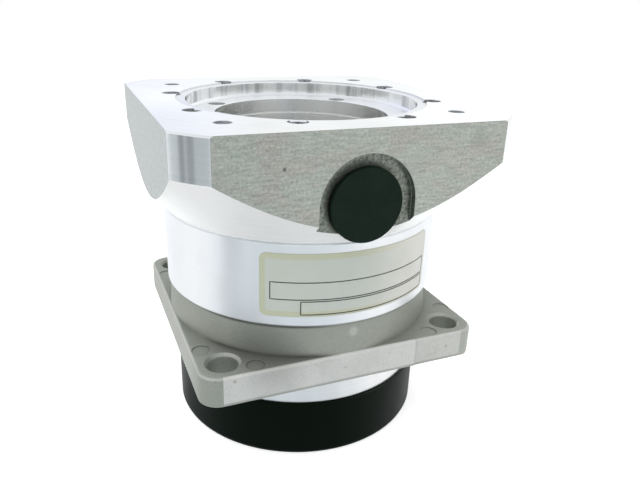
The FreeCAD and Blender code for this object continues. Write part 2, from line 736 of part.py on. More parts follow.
def plate_snap_ring():
    return snap_ring(BALL_BEARING_DIA + 2 * CLIP_BITE, CLIP_WIDTH, BALL_TOP, CLIP_TOP, 1)


def hub_snap_ring():
    outer = BALL_BEARING_BORE - 2 * CLIP_BITE + 2 * SEAT_GAP + 2 * CLIP_WIDTH
    return snap_ring(outer, CLIP_WIDTH, BALL_BASE - CLIP_THICK, BALL_BASE, -1)


def ball_ring(outer):
    """The outer or inner ring of the input bearing, with its ball groove."""
    edge = BALL_BEARING_DIA if outer else BALL_BEARING_BORE + 2 * SEAT_GAP
    land = BALL_BEARING_DIA - 2 * BALL_RING_WALL if outer else BALL_BEARING_BORE + 2 * BALL_RING_WALL
    blank = tube(max(edge, land), min(edge, land), BALL_BASE, BALL_TOP)
    middle, level = (BALL_BEARING_DIA + BALL_BEARING_BORE) / 2, (BALL_BASE + BALL_TOP) / 2
    groove = torus(middle, BALL_DIA + 2 * RUN_GAP, level)
    return blank.cut(groove)


def input_balls():
    centre = (BALL_BEARING_DIA + BALL_BEARING_BORE) / 4
    ball = Part.makeSphere(BALL_DIA / 2, FreeCAD.Vector(centre, 0, (BALL_BASE + BALL_TOP) / 2))
    return Part.makeCompound(ring_of(ball, BALL_COUNT))


def input_ball_cage():
    middle, level = (BALL_BEARING_DIA + BALL_BEARING_BORE) / 2, (BALL_BASE + BALL_TOP) / 2
    band = tube(middle + CAGE_WALL, middle - CAGE_WALL, level - CAGE_WIDTH / 2, level + CAGE_WIDTH / 2)
    centre = FreeCAD.Vector(0, 0, level)
    pocket = Part.makeCylinder(BALL_DIA / 2 + RUN_GAP, middle, centre, FreeCAD.Vector(1, 0, 0))
    return cut_all(band, ring_of(pocket, BALL_COUNT))


def output_flange():
    hub_r, journal_r = OUTPUT_HUB_DIA / 2, ROLLER_BEARING_BORE / 2
    body = turned([
        (0, OUTPUT_FACE),
        (hub_r - EDGE_BREAK, OUTPUT_FACE),
        (hub_r, OUTPUT_FACE + EDGE_BREAK),
        (hub_r, ROLLER_FRONT),
        (journal_r, ROLLER_FRONT),
        (journal_r, ROLLER_BACK),
        (0, ROLLER_BACK),
    ])
    spigot = rod(OUTPUT_SPIGOT_DIA, OUTPUT_FACE, OUTPUT_FACE + OUTPUT_SPIGOT_DEPTH)
    bore = rod(OUTPUT_BORE, OUTPUT_FACE, ROLLER_BACK)
    bolt = rod(OUTPUT_BOLT, OUTPUT_FACE, OUTPUT_FACE + OUTPUT_BOLT_DEPTH, OUTPUT_BOLT_CIRCLE / 2)
    tapped, deep = CARRIER_SCREW + 2 * THREAD_GAP, ROLLER_BACK - CARRIER_SCREW_ENTRY
    screw = rod(tapped, deep, ROLLER_BACK, CARRIER_SCREW_CIRCLE / 2)
    return cut_all(
        body, [spigot, bore] + ring_of(bolt, OUTPUT_BOLT_COUNT) + ring_of(screw, PLANET_COUNT, POST_ANGLE)
    )


def output_bore_plug():
    base = OUTPUT_FACE + OUTPUT_SPIGOT_DEPTH + FIT_GAP
    cup = rod(OUTPUT_BORE - 2 * SEAT_GAP, base, base + BORE_PLUG_THICK)
    return cup.cut(rod(OUTPUT_BORE - 2 * PLUG_WALL, base + BORE_PLUG_THICK / 3, base + BORE_PLUG_THICK))


def post_hole_set(low, high, dia):
    return ring_of(rod(dia, low, high, POST_RADIUS), PLANET_COUNT, POST_ANGLE)


def carrier_front(base, top, far, arm, pin, bore):
    """A carrier cheek with posts up to the rear cheek and bored for the planet pins."""
    cheek = rod(2 * CARRIER_RADIUS, base, top)
    posts = ring_of(rod(POST_DIA, base, far, POST_RADIUS), PLANET_COUNT, POST_ANGLE)
    body = cheek.multiFuse(posts).removeSplitter()
    pins = ring_of(rod(pin + 2 * SEAT_GAP, base, top, arm), PLANET_COUNT)
    threads = post_hole_set(far - POST_ENTRY, far, SMALL_SCREW + 2 * THREAD_GAP)
    return cut_all(body, pins + threads + [rod(bore, base, top)])


def carrier_rear(base, top, arm, pin, bore, head_height):
    """The second cheek, held on the posts by screws with sunk heads."""
    cheek = rod(2 * CARRIER_RADIUS, base, top)
    pins = ring_of(rod(pin + 2 * SEAT_GAP, base, top, arm), PLANET_COUNT)
    shanks = post_hole_set(base, top, SMALL_SCREW + 2 * HOLE_GAP)
    heads = post_hole_set(top - head_height, top, SMALL_HEAD + 2 * HOLE_GAP)
    return cut_all(cheek, pins + shanks + heads + [rod(bore, base, top)])


def post_screws(base, top, head_height):
    seat = top - head_height
    screw = socket_screw(SMALL_SCREW, SMALL_HEAD, head_height, SMALL_KEY, seat, base - POST_ENTRY + FIT_GAP)
    return Part.makeCompound(ring_of(moved(screw, POST_RADIUS, 0), PLANET_COUNT, POST_ANGLE))


def planet_pins(base, top, arm, pin):
    return Part.makeCompound(ring_of(rod(pin, base, top, arm), PLANET_COUNT))


def thrust_washers(low, high, arm, pin):
    inner = pin + 2 * RUN_GAP
    outer = inner + 2 * WASHER_WIDTH
    front = tube(outer, inner, low, low + WASHER_THICK, arm)
    rear = tube(outer, inner, high - WASHER_THICK, high, arm)
    return Part.makeCompound(ring_of(front, PLANET_COUNT) + ring_of(rear, PLANET_COUNT))


def planet_gear(teeth, arm, pin, low, high):
    bore = pin + 2 * RUN_GAP + 2 * BUSH_WALL
    return moved(outer_gear(teeth, low, high).cut(rod(bore + 2 * SEAT_GAP, low, high)), arm, 0)


def planet_bush(arm, pin, low, high):
    inner = pin + 2 * RUN_GAP
    return tube(inner + 2 * BUSH_WALL, inner, low, high, arm)


def carrier2_front():
    body = carrier_front(ROLLER_BACK, CHEEK2_TOP, REAR2_BASE, ARM2, PIN2_DIA, OUTPUT_BORE)
    seat = CHEEK2_TOP - CARRIER_HEAD_HEIGHT
    radius = CARRIER_SCREW_CIRCLE / 2
    hole = rod(CARRIER_SCREW + 2 * HOLE_GAP, ROLLER_BACK, seat, radius)
    well = rod(CARRIER_HEAD + 2 * HOLE_GAP, seat, CHEEK2_TOP, radius)
    return cut_all(body, ring_of(hole.fuse(well), PLANET_COUNT, POST_ANGLE))


def carrier2_screws():
    seat = CHEEK2_TOP - CARRIER_HEAD_HEIGHT
    end = ROLLER_BACK - CARRIER_SCREW_ENTRY + FIT_GAP
    screw = socket_screw(CARRIER_SCREW, CARRIER_HEAD, CARRIER_HEAD_HEIGHT, CARRIER_KEY, seat, end)
    return Part.makeCompound(ring_of(moved(screw, CARRIER_SCREW_CIRCLE / 2, 0), PLANET_COUNT, POST_ANGLE))


def sun_bore(teeth):
    """The hole in a carrier cheek that a sun gear passes through."""
    return MODULE * teeth + 2 * ADDENDUM + 2 * FIT_GAP


def stage2_sun():
    teeth = outer_gear(SUN2_TEETH, PLANET2_BASE, PLANET2_TOP, math.pi / SUN2_TEETH)
    return teeth.fuse(rod(SUN2_SHAFT, PLANET2_TOP, CHEEK1_TOP)).removeSplitter()


def input_sun():
    teeth = outer_gear(SUN1_TEETH, PLANET1_BASE, PLANET1_TOP, math.pi / SUN1_TEETH)
    return teeth.fuse(rod(SUN1_STEM, PLANET1_TOP, STEM_TOP)).removeSplitter()


def input_hub():
    journal, seal_r, collar = BALL_BEARING_BORE / 2, SEAL_JOURNAL_DIA / 2, COLLAR_DIA / 2
    groove = journal - CLIP_BITE
    clip_base = BALL_BASE - CLIP_THICK - SEAT_GAP
    body = turned([
        (0, HUB_BASE),
        (journal, HUB_BASE),
        (journal, clip_base),
        (groove, clip_base),
        (groove, BALL_BASE),
        (journal, BALL_BASE),
        (journal, BALL_TOP),
        (seal_r, BALL_TOP),
        (seal_r, COLLAR_BASE),
        (collar, COLLAR_BASE),
        (collar, COLLAR_TOP - EDGE_BREAK),
        (collar - EDGE_BREAK, COLLAR_TOP),
        (0, COLLAR_TOP),
    ])
    stem = rod(SUN1_STEM + 2 * SEAT_GAP, HUB_BASE, STEM_TOP)
    bore = rod(MOTOR_SHAFT, HUB_BORE_FLOOR, COLLAR_TOP)
    slit = block(-collar, 0, -COLLAR_SLIT / 2, COLLAR_SLIT / 2, COLLAR_BASE, COLLAR_TOP)
    well = rod_y(SMALL_HEAD + 2 * HOLE_GAP, -collar, -CLAMP_SEAT, CLAMP_X, ACCESS_Z)
    loose = rod_y(SMALL_SCREW + 2 * HOLE_GAP, -CLAMP_SEAT, 0, CLAMP_X, ACCESS_Z)
    tapped = rod_y(SMALL_SCREW + 2 * RUN_GAP, 0, collar, CLAMP_X, ACCESS_Z)
    return cut_all(body, [stem, bore, slit, well, loose, tapped])


def clamp_screw():
    """The clamp screw lies along Y with its head towards the access hole."""
    screw = socket_screw(SMALL_SCREW, SMALL_HEAD, SMALL_HEAD_HEIGHT, SMALL_KEY, RUN_GAP, -CLAMP_LENGTH)
    screw.rotate(ORIGIN, FreeCAD.Vector(1, 0, 0), 90)
    return moved(screw, CLAMP_X, -CLAMP_SEAT, ACCESS_Z)


def access_plug():
    front = SLOT_FLOOR_Y - PLUG_HEAD_THICK
    seat = SLOT_FLOOR_Y - RUN_GAP
    stem = ACCESS_DIA - 2 * PLUG_GAP
    end = SLOT_FLOOR_Y + PLUG_STEM_LENGTH
    head = rod_y(PLUG_HEAD_DIA, front, seat, 0, ACCESS_Z)
    rim = [e for e in head.Edges if all(abs(v.Y - front) < 1e-6 for v in e.Vertexes)]
    head = head.makeFillet(EDGE_BREAK, rim)
    body = head.fuse(rod_y(stem, seat, end, 0, ACCESS_Z))
    return body.cut(rod_y(stem - 2 * PLUG_WALL, seat, end, 0, ACCESS_Z))


def output_cap():
    inner = NOSE_DIA / 2 + CAP_GAP
    outer = inner + CAP_WALL
    return turned([
        (0, CAP_BASE),
        (outer - CAP_EDGE, CAP_BASE),
        (outer - CAP_EDGE_ROUND, CAP_BASE + CAP_EDGE_ROUND),
        (outer, CAP_BASE + CAP_EDGE),
        (outer, CAP_RIM),
        (inner, CAP_RIM),
        (inner, CAP_FACE),
        (0, CAP_FACE),
    ])


def save(name, shape):
    shape.exportStep("parts/" + name + ".step")


def save_planets(stage, teeth, arm, pin, low, high):
    """One gear and one bush for each planet, numbered anticlockwise from +X."""
    gear, bush = planet_gear(teeth, arm, pin, low, high), planet_bush(arm, pin, low, high)
    for i in range(PLANET_COUNT):
        angle = i * 360.0 / PLANET_COUNT
        save(f"stage{stage}_planet_{i + 1}", turn(gear, angle))
        save(f"stage{stage}_bush_{i + 1}", turn(bush, angle))


def main():
    os.makedirs("parts", exist_ok=True)
    save("output_casing", output_casing())
    save("gear_case", gear_case())
    save("rating_label", rating_label())
    save("ring_gear", ring_gear())
    save("input_plate", input_plate())
    save("motor_adapter", motor_adapter())
    save("case_bolts", case_bolts())
    save("plate_screws", plate_screws())
    save("dowel_pins", dowel_pins())
    save("case_seal_ring", case_seal_ring())
    save("plate_seal_ring", plate_seal_ring())
    save("output_oil_seal", lip_seal(SEAL_DIA, OUTPUT_HUB_DIA, SEAL_FRONT, SEAL_BACK))
    save("input_oil_seal", lip_seal(BALL_BEARING_DIA, SEAL_JOURNAL_DIA, INPUT_SEAL_BASE, INPUT_SEAL_TOP))
    save("roller_outer_front", roller_outer_ring(True))
    save("roller_outer_rear", roller_outer_ring(False))
    save("roller_inner_ring", roller_inner_ring())
    save("output_rollers", output_rollers())
    save("casing_snap_ring", casing_snap_ring())
    save("plate_snap_ring", plate_snap_ring())
    save("hub_snap_ring", hub_snap_ring())
    save("ball_outer_ring", ball_ring(True))
    save("ball_inner_ring", ball_ring(False))
    save("input_balls", input_balls())
    save("input_ball_cage", input_ball_cage())
    save("output_flange", output_flange())
    save("output_bore_plug", output_bore_plug())
    save("carrier2_front", carrier2_front())
    sun2_bore, sun1_bore = sun_bore(SUN2_TEETH), sun_bore(SUN1_TEETH)
    save("carrier2_rear", carrier_rear(REAR2_BASE, REAR2_TOP, ARM2, PIN2_DIA, sun2_bore, SMALL_HEAD_HEIGHT))
    save("carrier2_screws", carrier2_screws())
    save("carrier2_post_screws", post_screws(REAR2_BASE, REAR2_TOP, SMALL_HEAD_HEIGHT))
    save("carrier2_pins", planet_pins(ROLLER_BACK, REAR2_TOP, ARM2, PIN2_DIA))
    save("carrier2_washers", thrust_washers(CHEEK2_TOP, REAR2_BASE, ARM2, PIN2_DIA))
    save_planets(2, PLANET2_TEETH, ARM2, PIN2_DIA, PLANET2_BASE, PLANET2_TOP)
    shaft_bore = SUN2_SHAFT + 2 * SEAT_GAP
    save("carrier1_front", carrier_front(CHEEK1_BASE, CHEEK1_TOP, REAR1_BASE, ARM1, PIN1_DIA, shaft_bore))
    save("carrier1_rear", carrier_rear(REAR1_BASE, REAR1_TOP, ARM1, PIN1_DIA, sun1_bore, POST_HEAD_HEIGHT))
    save("carrier1_post_screws", post_screws(REAR1_BASE, REAR1_TOP, POST_HEAD_HEIGHT))
    save("carrier1_pins", planet_pins(CHEEK1_BASE, REAR1_TOP, ARM1, PIN1_DIA))
    save("carrier1_washers", thrust_washers(CHEEK1_TOP, REAR1_BASE, ARM1, PIN1_DIA))
    save("stage2_sun", stage2_sun())
    save_planets(1, PLANET1_TEETH, ARM1, PIN1_DIA, PLANET1_BASE, PLANET1_TOP)
    save("input_sun", input_sun())
    save("input_hub", input_hub())
    save("clamp_screw", clamp_screw())
    save("access_plug", access_plug())
    save("output_cap", output_cap())


main()
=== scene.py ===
"""Dresses the packed planetary gearhead: finishes, ruled label, tapped threads and a plain studio."""

import json
import math

import bpy
from mathutils import Matrix, Vector


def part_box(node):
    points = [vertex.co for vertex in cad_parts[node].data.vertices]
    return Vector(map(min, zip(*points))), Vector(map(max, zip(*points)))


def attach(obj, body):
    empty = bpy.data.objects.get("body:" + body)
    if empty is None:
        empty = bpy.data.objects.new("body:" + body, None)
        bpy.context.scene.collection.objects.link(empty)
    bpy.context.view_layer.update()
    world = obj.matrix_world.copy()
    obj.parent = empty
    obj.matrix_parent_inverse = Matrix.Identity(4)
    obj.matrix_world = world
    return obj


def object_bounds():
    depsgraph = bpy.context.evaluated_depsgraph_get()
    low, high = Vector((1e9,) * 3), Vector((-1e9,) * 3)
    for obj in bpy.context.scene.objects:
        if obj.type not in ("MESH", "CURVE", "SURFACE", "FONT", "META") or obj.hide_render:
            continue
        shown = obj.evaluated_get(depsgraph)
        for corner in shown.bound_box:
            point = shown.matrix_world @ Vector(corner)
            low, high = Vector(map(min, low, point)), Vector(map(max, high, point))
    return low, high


bl_info = {
    "name": "Planetary Gearhead Dressing",
    "version": (1, 0, 0),
    "blender": (4, 5, 0),
    "location": "3D View > Sidebar > Gearhead",
    "description": "Finishes, ruled label, tapped threads and studio for the planetary gearhead",
    "category": "Object",
}

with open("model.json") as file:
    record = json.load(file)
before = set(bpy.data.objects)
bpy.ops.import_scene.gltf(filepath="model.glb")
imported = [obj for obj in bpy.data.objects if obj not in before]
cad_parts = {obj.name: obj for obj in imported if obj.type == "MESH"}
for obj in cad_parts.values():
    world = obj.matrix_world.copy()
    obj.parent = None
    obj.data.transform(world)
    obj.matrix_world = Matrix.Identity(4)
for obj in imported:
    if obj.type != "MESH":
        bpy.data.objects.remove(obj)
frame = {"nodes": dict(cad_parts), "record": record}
cad_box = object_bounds()

MM = 0.001
SHADER_TREE = "ShaderNodeTree"
GEOMETRY_TREE = "GeometryNodeTree"
GEOMETRY_OUT = [("Geometry", "NodeSocketGeometry")]
FLOAT = "NodeSocketFloat"
VECTOR = "NodeSocketVector"


def span(node, axis):
    """Lowest and highest value of a node along one axis, in millimetres."""
    low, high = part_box(node)
    return low[axis] / MM, high[axis] / MM


# Levels, widths and radii of the solids, in millimetres, from the frame where a node's box gives them.
ADAPTER_SIDE = span("motor_adapter", 0)[1]
ADAPTER_TOP = span("motor_adapter", 2)[1]
CONE_OFFSET = 0.6
CONE_TOP = 66.0
RECESS_FLOOR = 72.6
RECESS_WALL = (35.9, 37.2)
RECESS_MIDDLE = 35.0
BORE_RADIUS = 28.2
WELL_FLOOR = 46.0
CASE_BOLT_RING = (39.6, 43.4)
PLATE_SCREW_RING = (28.4, 34.6)
POCKET_FLOOR = -48.0
POCKET_HALF = 14.2
ACCESS_LEVEL = 56.7
FLANGE_SIDE = span("output_casing", 0)[1]
FLANGE_TOP = 9.3
FLANGE_STRAIGHT = 39.0
FLANGE_SEAM = 22.5
MACHINED_RADIUS = 41.2
BOSS_TOP = 19.3
PILOT_END = -9.3
CASE_RADIUS = span("gear_case", 0)[1]
LABEL_LOW, LABEL_HIGH = span("rating_label", 2)
LABEL_FACE = -span("rating_label", 1)[0]
LABEL_HALF = 29.2
LABEL_CORNER = 2.0
LABEL_ANGLE = math.radians(-88.0)
OUTPUT_FACE = span("output_flange", 2)[0]
MOTOR_HOLE_RADIUS = 2.5
MOTOR_CIRCLE = 49.215
OUTPUT_HOLE_RADIUS = 3.0
OUTPUT_CIRCLE = 22.5
THREAD_START = 0.9
STEEL_PITCH = 0.12

# Middles of single marks on the surfaces, in millimetres; the mark beside the plug is a painted shadow and
# the one on the boss a painted shade patch.
DENT = (-23.6, -50.0, 68.5)
THUMB_MARK = (32.6, -50.0, 73.2)
PLUG_SHADOW = (-1.2, POCKET_FLOOR, ACCESS_LEVEL + 1.2)
BOSS_SHADE = (-23.5, -37.2, 10.2)
BOSS_SMUDGE = (0.7, -43.7, 15.9)
CASTING_SPECKS = ((-35.7, -45.0, 7.5), (33.8, -45.0, 4.6))

# Sides round the gearhead, as azimuths in degrees: the camera stands opposite the far side.
DIM_SIDE = 239.0
COOL_SIDE = 104.0
# Side where the painted shade on the casting is strongest.
SHADE_SIDE = 236.0
FAR_SIDE = 66.6

FLOOR_LEVEL = cad_box[0].z


def screen(red, green, blue):
    """Scene colour of a screen colour given in steps of 0 to 255."""
    def linear(step):
        share = step / 255.0
        return share / 12.92 if share <= 0.04045 else ((share + 0.055) / 1.055) ** 2.4

    return linear(red), linear(green), linear(blue)


def rgba(colour, share=1.0):
    """Four numbers of a colour, made lighter or darker by a share."""
    return (colour[0] * share, colour[1] * share, colour[2] * share, 1.0)


def colour_property(title, words, value):
    """A colour that the user can change."""
    return bpy.props.FloatVectorProperty(
        name=title, description=words, default=value, size=3, min=0.0, max=1.0, subtype="COLOR")


def length_property(title, words, millimetres):
    """A length that the user can change."""
    return bpy.props.FloatProperty(
        name=title, description=words, default=millimetres * MM, min=0.0, precision=5, unit="LENGTH")


def share_property(title, words, value):
    """A share between nothing and all."""
    return bpy.props.FloatProperty(
        name=title, description=words, default=value, min=0.0, max=1.0, subtype="FACTOR")


class GearheadMetal(bpy.types.PropertyGroup):
    """Colours and grain of the metal parts."""

    turned: colour_property("Turned aluminium", "Bright lathe-turned faces", (0.90, 0.91, 0.935))
    faced: colour_property("Faced aluminium", "Faced top of the motor adapter", (0.985, 0.990, 0.992))
    pilot: colour_property("Pilot", "Turned pilot and nose of the output casing", (0.855, 0.850, 0.858))
    bored: colour_property("Bored aluminium", "Satin bore of the motor adapter", (0.86, 0.865, 0.845))
    sawn: colour_property("Sawn aluminium", "Grainy front and back of the adapter", screen(190, 197, 189))
    sawn_warm: colour_property("Sawn patches", "Warmer patches of the sawn faces", screen(192, 190, 184))
    skimmed: colour_property("Skimmed aluminium", "Smoother sides of the adapter", screen(188, 192, 191))
    pocket: colour_property("Milled pocket", "Coarse pocket round the access plug", screen(126, 130, 122))
    cast: colour_property("Blasted casting", "Flange and boss of the output casing", screen(166, 169, 161))
    trimmed: colour_property("Trimmed casting", "Flange sides where the mould parts", screen(217, 217, 214))
    sawn_grain: length_property("Sawn grain", "Size of the grain on the adapter's sides", 0.30)
    cast_grain: length_property("Cast grain", "Size of the grain of the blasted casting", 0.30)
    turning_pitch: length_property("Turning pitch", "Feed of the lathe tool between two marks", 0.16)
    edge_width: length_property("Edge break", "Width of the broken edges", 0.28)


class GearheadSoft(bpy.types.PropertyGroup):
    """Colours of the plastic, rubber and paper parts."""

    cap: colour_property("Cap plastic", "Satin black push-on cap", screen(3, 14, 5))
    plug: colour_property("Plug rubber", "Matte black access plug", screen(20, 34, 27))
    seal: colour_property("Seal rubber", "Oil seals and seal rings", (0.022, 0.022, 0.023))
    paper: colour_property("Label paper", "Middle of the rating label", screen(203, 211, 204))
    # Painted sheen: colour of the paler right end of the label.
    painted_sheen: colour_property("Label sheen", "Paler right end of the rating label", screen(246, 245, 238))
    border: colour_property("Label border", "Varnish ring round the label's edge", screen(199, 204, 178))
    ink: colour_property("Label ink", "Ruled lines on the label", screen(74, 76, 70))
    border_width: length_property("Border width", "Width of the varnish ring", 1.7)
    rule_width: length_property("Rule width", "Width of a ruled line", 0.34)
    rule_height: length_property("Rule height", "Thickness of the ink", 0.02)


class GearheadThreads(bpy.types.PropertyGroup):
    """Sizes of the tapped threads."""

    pitch: length_property("Pitch", "Rise of the thread in one turn", 1.0)
    ridge: length_property("Ridge", "Half height of the thread's ridge", 0.32)
    motor_turns: bpy.props.IntProperty(
        name="Motor turns", description="Turns of thread in a motor bolt hole", default=12, min=1)
    output_turns: bpy.props.IntProperty(
        name="Output turns", description="Turns of thread in an output bolt hole", default=8, min=1)


class GearheadStudio(bpy.types.PropertyGroup):
    """Camera, lamps and floor."""

    lens: bpy.props.FloatProperty(
        name="Lens", description="Focal length on a 36 mm wide sensor", default=34.97, min=1.0, unit="CAMERA")
    stand: bpy.props.FloatVectorProperty(
        name="Camera stand", description="Place of the camera", size=3,
        default=(-0.07307, -0.18741, 0.10828), subtype="TRANSLATION", unit="LENGTH")
    pitch: bpy.props.FloatProperty(
        name="Pitch", description="How far the camera looks down", default=math.radians(21.597),
        subtype="ANGLE")
    roll: bpy.props.FloatProperty(
        name="Roll", description="Turn of the camera about its view", default=math.radians(1.945),
        subtype="ANGLE")
    heading: bpy.props.FloatProperty(
        name="Heading", description="Turn of the camera about the object", default=math.radians(-23.380),
        subtype="ANGLE")
    ambient: share_property("Ambient", "Level of the surround on matte surfaces", 0.5)
    glow: share_property("Floor glow", "Share of the floor's white that needs no lamp", 0.66)


class Graph:
    """Short way to place and join the nodes of one tree."""

    def __init__(self, tree):
        self.tree = tree

    def feed(self, socket, value):
        """Join a socket to another one, or set its value."""
        if isinstance(value, bpy.types.NodeSocket):
            self.tree.links.new(value, socket)
        else:
            socket.default_value = value

    def node(self, kind, values=None, **settings):
        """Place one node with its settings and inputs."""
        item = self.tree.nodes.new(kind)
        for key, value in settings.items():
            setattr(item, key, value)
        for key, value in (values or {}).items():
            self.feed(item.inputs[key], value)
        return item

    def give(self, kind, values=None, **settings):
        """Place one node and give its first output."""
        return self.node(kind, values, **settings).outputs[0]

    def math(self, operation, first, second=0.0, third=0.0):
        """One step of arithmetic on plain numbers."""
        return self.give("ShaderNodeMath", {0: first, 1: second, 2: third}, operation=operation)

    def times(self, first, second):
        """Product of two numbers."""
        return self.math("MULTIPLY", first, second)

    def plus(self, first, second):
        """Sum of two numbers."""
        return self.math("ADD", first, second)

    def minus(self, first, second):
        """Difference of two numbers."""
        return self.math("SUBTRACT", first, second)

    def above(self, value, limit):
        """One where a number is over a limit."""
        return self.math("GREATER_THAN", value, limit)

    def below(self, value, limit):
        """One where a number is under a limit."""
        return self.math("LESS_THAN", value, limit)

    def size(self, value):
        """A number without its sign."""
        return self.math("ABSOLUTE", value)

    def ramp(self, value, slope, base):
        """A base plus a slope times a number."""
        return self.math("MULTIPLY_ADD", value, slope, base)

    def vector(self, operation, first, second=(0.0, 0.0, 0.0)):
        """One step of arithmetic on vectors."""
        return self.give("ShaderNodeVectorMath", {0: first, 1: second}, operation=operation)

    def measure(self, operation, first, second=(0.0, 0.0, 0.0)):
        """A plain number worked out from vectors."""
        return self.node("ShaderNodeVectorMath", {0: first, 1: second}, operation=operation).outputs["Value"]

    def split(self, vector):
        """The three numbers of a vector."""
        return self.node("ShaderNodeSeparateXYZ", {0: vector}).outputs

    def join(self, first=0.0, second=0.0, third=0.0):
        """A vector of three numbers."""
        return self.give("ShaderNodeCombineXYZ", {0: first, 1: second, 2: third})

    def mix(self, share, first, second, operation="MIX"):
        """Blend two colours."""
        values = {0: share, 6: first, 7: second}
        return self.node("ShaderNodeMix", values, data_type="RGBA", blend_type=operation).outputs[2]

    def blend(self, share, first, second):
        """Blend two numbers."""
        return self.give("ShaderNodeMix", {0: share, 2: first, 3: second}, data_type="FLOAT")

    def layers(self, colour, *rows):
        """Lay colours over a first one: each row has a mask, its share, a colour and how light it is."""
        for mask, share, over, light in rows:
            colour = self.mix(self.times(mask, share), colour, rgba(over, light))
        return colour

    def zones(self, value, *rows):
        """Change a number where a mask is one: each row has a mask and the number there."""
        for mask, other in rows:
            value = self.blend(mask, value, other)
        return value

    def shade(self, colour, share):
        """Make a colour lighter or darker by a changing share."""
        grey = self.give("ShaderNodeCombineColor", {0: share, 1: share, 2: share})
        return self.mix(1.0, colour, grey, "MULTIPLY")

    def rescale(self, value, low, high, to_low=0.0, to_high=1.0, smooth=False):
        """Stretch a range of numbers onto another."""
        kind = "SMOOTHSTEP" if smooth else "LINEAR"
        values = {0: value, 1: low, 2: high, 3: to_low, 4: to_high}
        return self.give("ShaderNodeMapRange", values, interpolation_type=kind)

    def within(self, value, low, high):
        """One where a number lies between two limits."""
        return self.times(self.above(value, low), self.below(value, high))

    def both(self, *masks):
        """One where every mask is one."""
        made = masks[0]
        for mask in masks[1:]:
            made = self.times(made, mask)
        return made

    def either(self, *masks):
        """One where any mask is one."""
        made = masks[0]
        for mask in masks[1:]:
            made = self.math("MAXIMUM", made, mask)
        return made

    def unless(self, mask):
        """The opposite of a mask."""
        return self.minus(1.0, mask)

    def spot(self, place, centre, reach, core, share, smooth=True):
        """A round patch that fades from its core to its reach."""
        return self.rescale(self.measure("DISTANCE", place, centre), reach, core, 0.0, share, smooth)

    def towards(self, place, azimuth):
        """How far a place lies to one side: one on that side, minus one on the other."""
        turn = math.radians(azimuth)
        level = self.vector("NORMALIZE", self.vector("MULTIPLY", place, (1.0, 1.0, 0.0)))
        return self.measure("DOT_PRODUCT", level, (math.cos(turn), math.sin(turn), 0.0))

    def noise(self, place, scale=1.0, detail=2.0, rough=0.5):
        """Soft noise in space."""
        values = {"Vector": place, "Scale": scale, "Detail": detail, "Roughness": rough}
        return self.give("ShaderNodeTexNoise", values)

    def lines(self, along, detail=2.0, rough=0.6):
        """Noise that changes along one direction only."""
        values = {"W": along, "Scale": 1.0, "Detail": detail, "Roughness": rough}
        return self.give("ShaderNodeTexNoise", values, noise_dimensions="1D")

    def cells(self, place, scale=1.0):
        """Scattered points: distance to the nearest and a random number for each."""
        item = self.node("ShaderNodeTexVoronoi", {"Vector": place, "Scale": scale}, feature="F1")
        return item.outputs["Distance"], self.give("ShaderNodeSeparateColor", {0: item.outputs["Color"]})

    def bump(self, height, depth, normal=None):
        """Surface relief of a depth given in millimetres."""
        values = {"Strength": 1.0, "Distance": depth * MM, "Height": height}
        if normal is not None:
            values["Normal"] = normal
        return self.give("ShaderNodeBump", values)

    def effect(self, name, **values):
        """Place one of the shared effects and give its outputs."""
        item = self.node("ShaderNodeGroup", node_tree=effect_tree(name))
        for key, value in values.items():
            self.feed(item.inputs[key.title()], value)
        return item.outputs

    def where(self):
        """Place, across, depth, level and radius of a point, in millimetres."""
        return tuple(self.effect("millimetres"))


def new_tree(kind, name, inputs, outputs):
    """Start a tree of nodes with named sockets."""
    tree = bpy.data.node_groups.new(name, kind)
    for title, socket, value in inputs:
        entry = tree.interface.new_socket(name=title, in_out="INPUT", socket_type=socket)
        if value is not None:
            entry.default_value = value
    for title, socket in outputs:
        tree.interface.new_socket(name=title, in_out="OUTPUT", socket_type=socket)
    graph = Graph(tree)
    return graph, graph.node("NodeGroupInput").outputs, graph.node("NodeGroupOutput").inputs


def make_millimetres(name):
    """Where a point lies on the part, in millimetres about the gearhead's axis."""
    titles = ("Place", "Across", "Depth", "Level", "Radius")
    outputs = [(title, VECTOR if title == "Place" else FLOAT) for title in titles]
    graph, _, leave = new_tree(SHADER_TREE, name, [], outputs)
    place = graph.vector("MULTIPLY", graph.node("ShaderNodeTexCoord").outputs["Object"], (1.0 / MM,) * 3)
    radius = graph.measure("LENGTH", graph.vector("MULTIPLY", place, (1.0, 1.0, 0.0)))
    for title, value in zip(titles, (place, *graph.split(place), radius)):
        graph.feed(leave[title], value)


def make_turning(name):
    """Fine rings that a lathe tool leaves, and slower bands of tone."""
    inputs = [("Along", FLOAT, 0.0), ("Pitch", FLOAT, 0.16)]
    graph, entry, leave = new_tree(SHADER_TREE, name, inputs, [("Height", FLOAT), ("Tone", FLOAT)])
    turns = graph.math("DIVIDE", entry["Along"], entry["Pitch"])
    graph.feed(leave["Height"], graph.lines(turns, 3.0, 0.7))
    graph.feed(leave["Tone"], graph.lines(graph.times(turns, 0.11), 2.0, 0.5))


def make_grain(name):
    """Grain of a sawn or blasted face, with specks and a few pits."""
    inputs = [("Place", VECTOR, (0.0, 0.0, 0.0)), ("Size", FLOAT, 0.4)]
    outputs = [("Grain", FLOAT), ("Specks", FLOAT), ("Pits", FLOAT)]
    graph, entry, leave = new_tree(SHADER_TREE, name, inputs, outputs)
    sized = graph.vector("DIVIDE", entry["Place"], entry["Size"])
    graph.feed(leave["Grain"], graph.rescale(graph.noise(sized, 0.5, 3.0, 0.7), 0.28, 0.72))
    near, draw = graph.cells(sized, 0.55)
    graph.feed(leave["Specks"], graph.both(graph.rescale(near, 0.42, 0.12), graph.above(draw, 0.62)))
    near, draw = graph.cells(sized, 0.16)
    graph.feed(leave["Pits"], graph.both(graph.rescale(near, 0.22, 0.08), graph.above(draw, 0.93)))


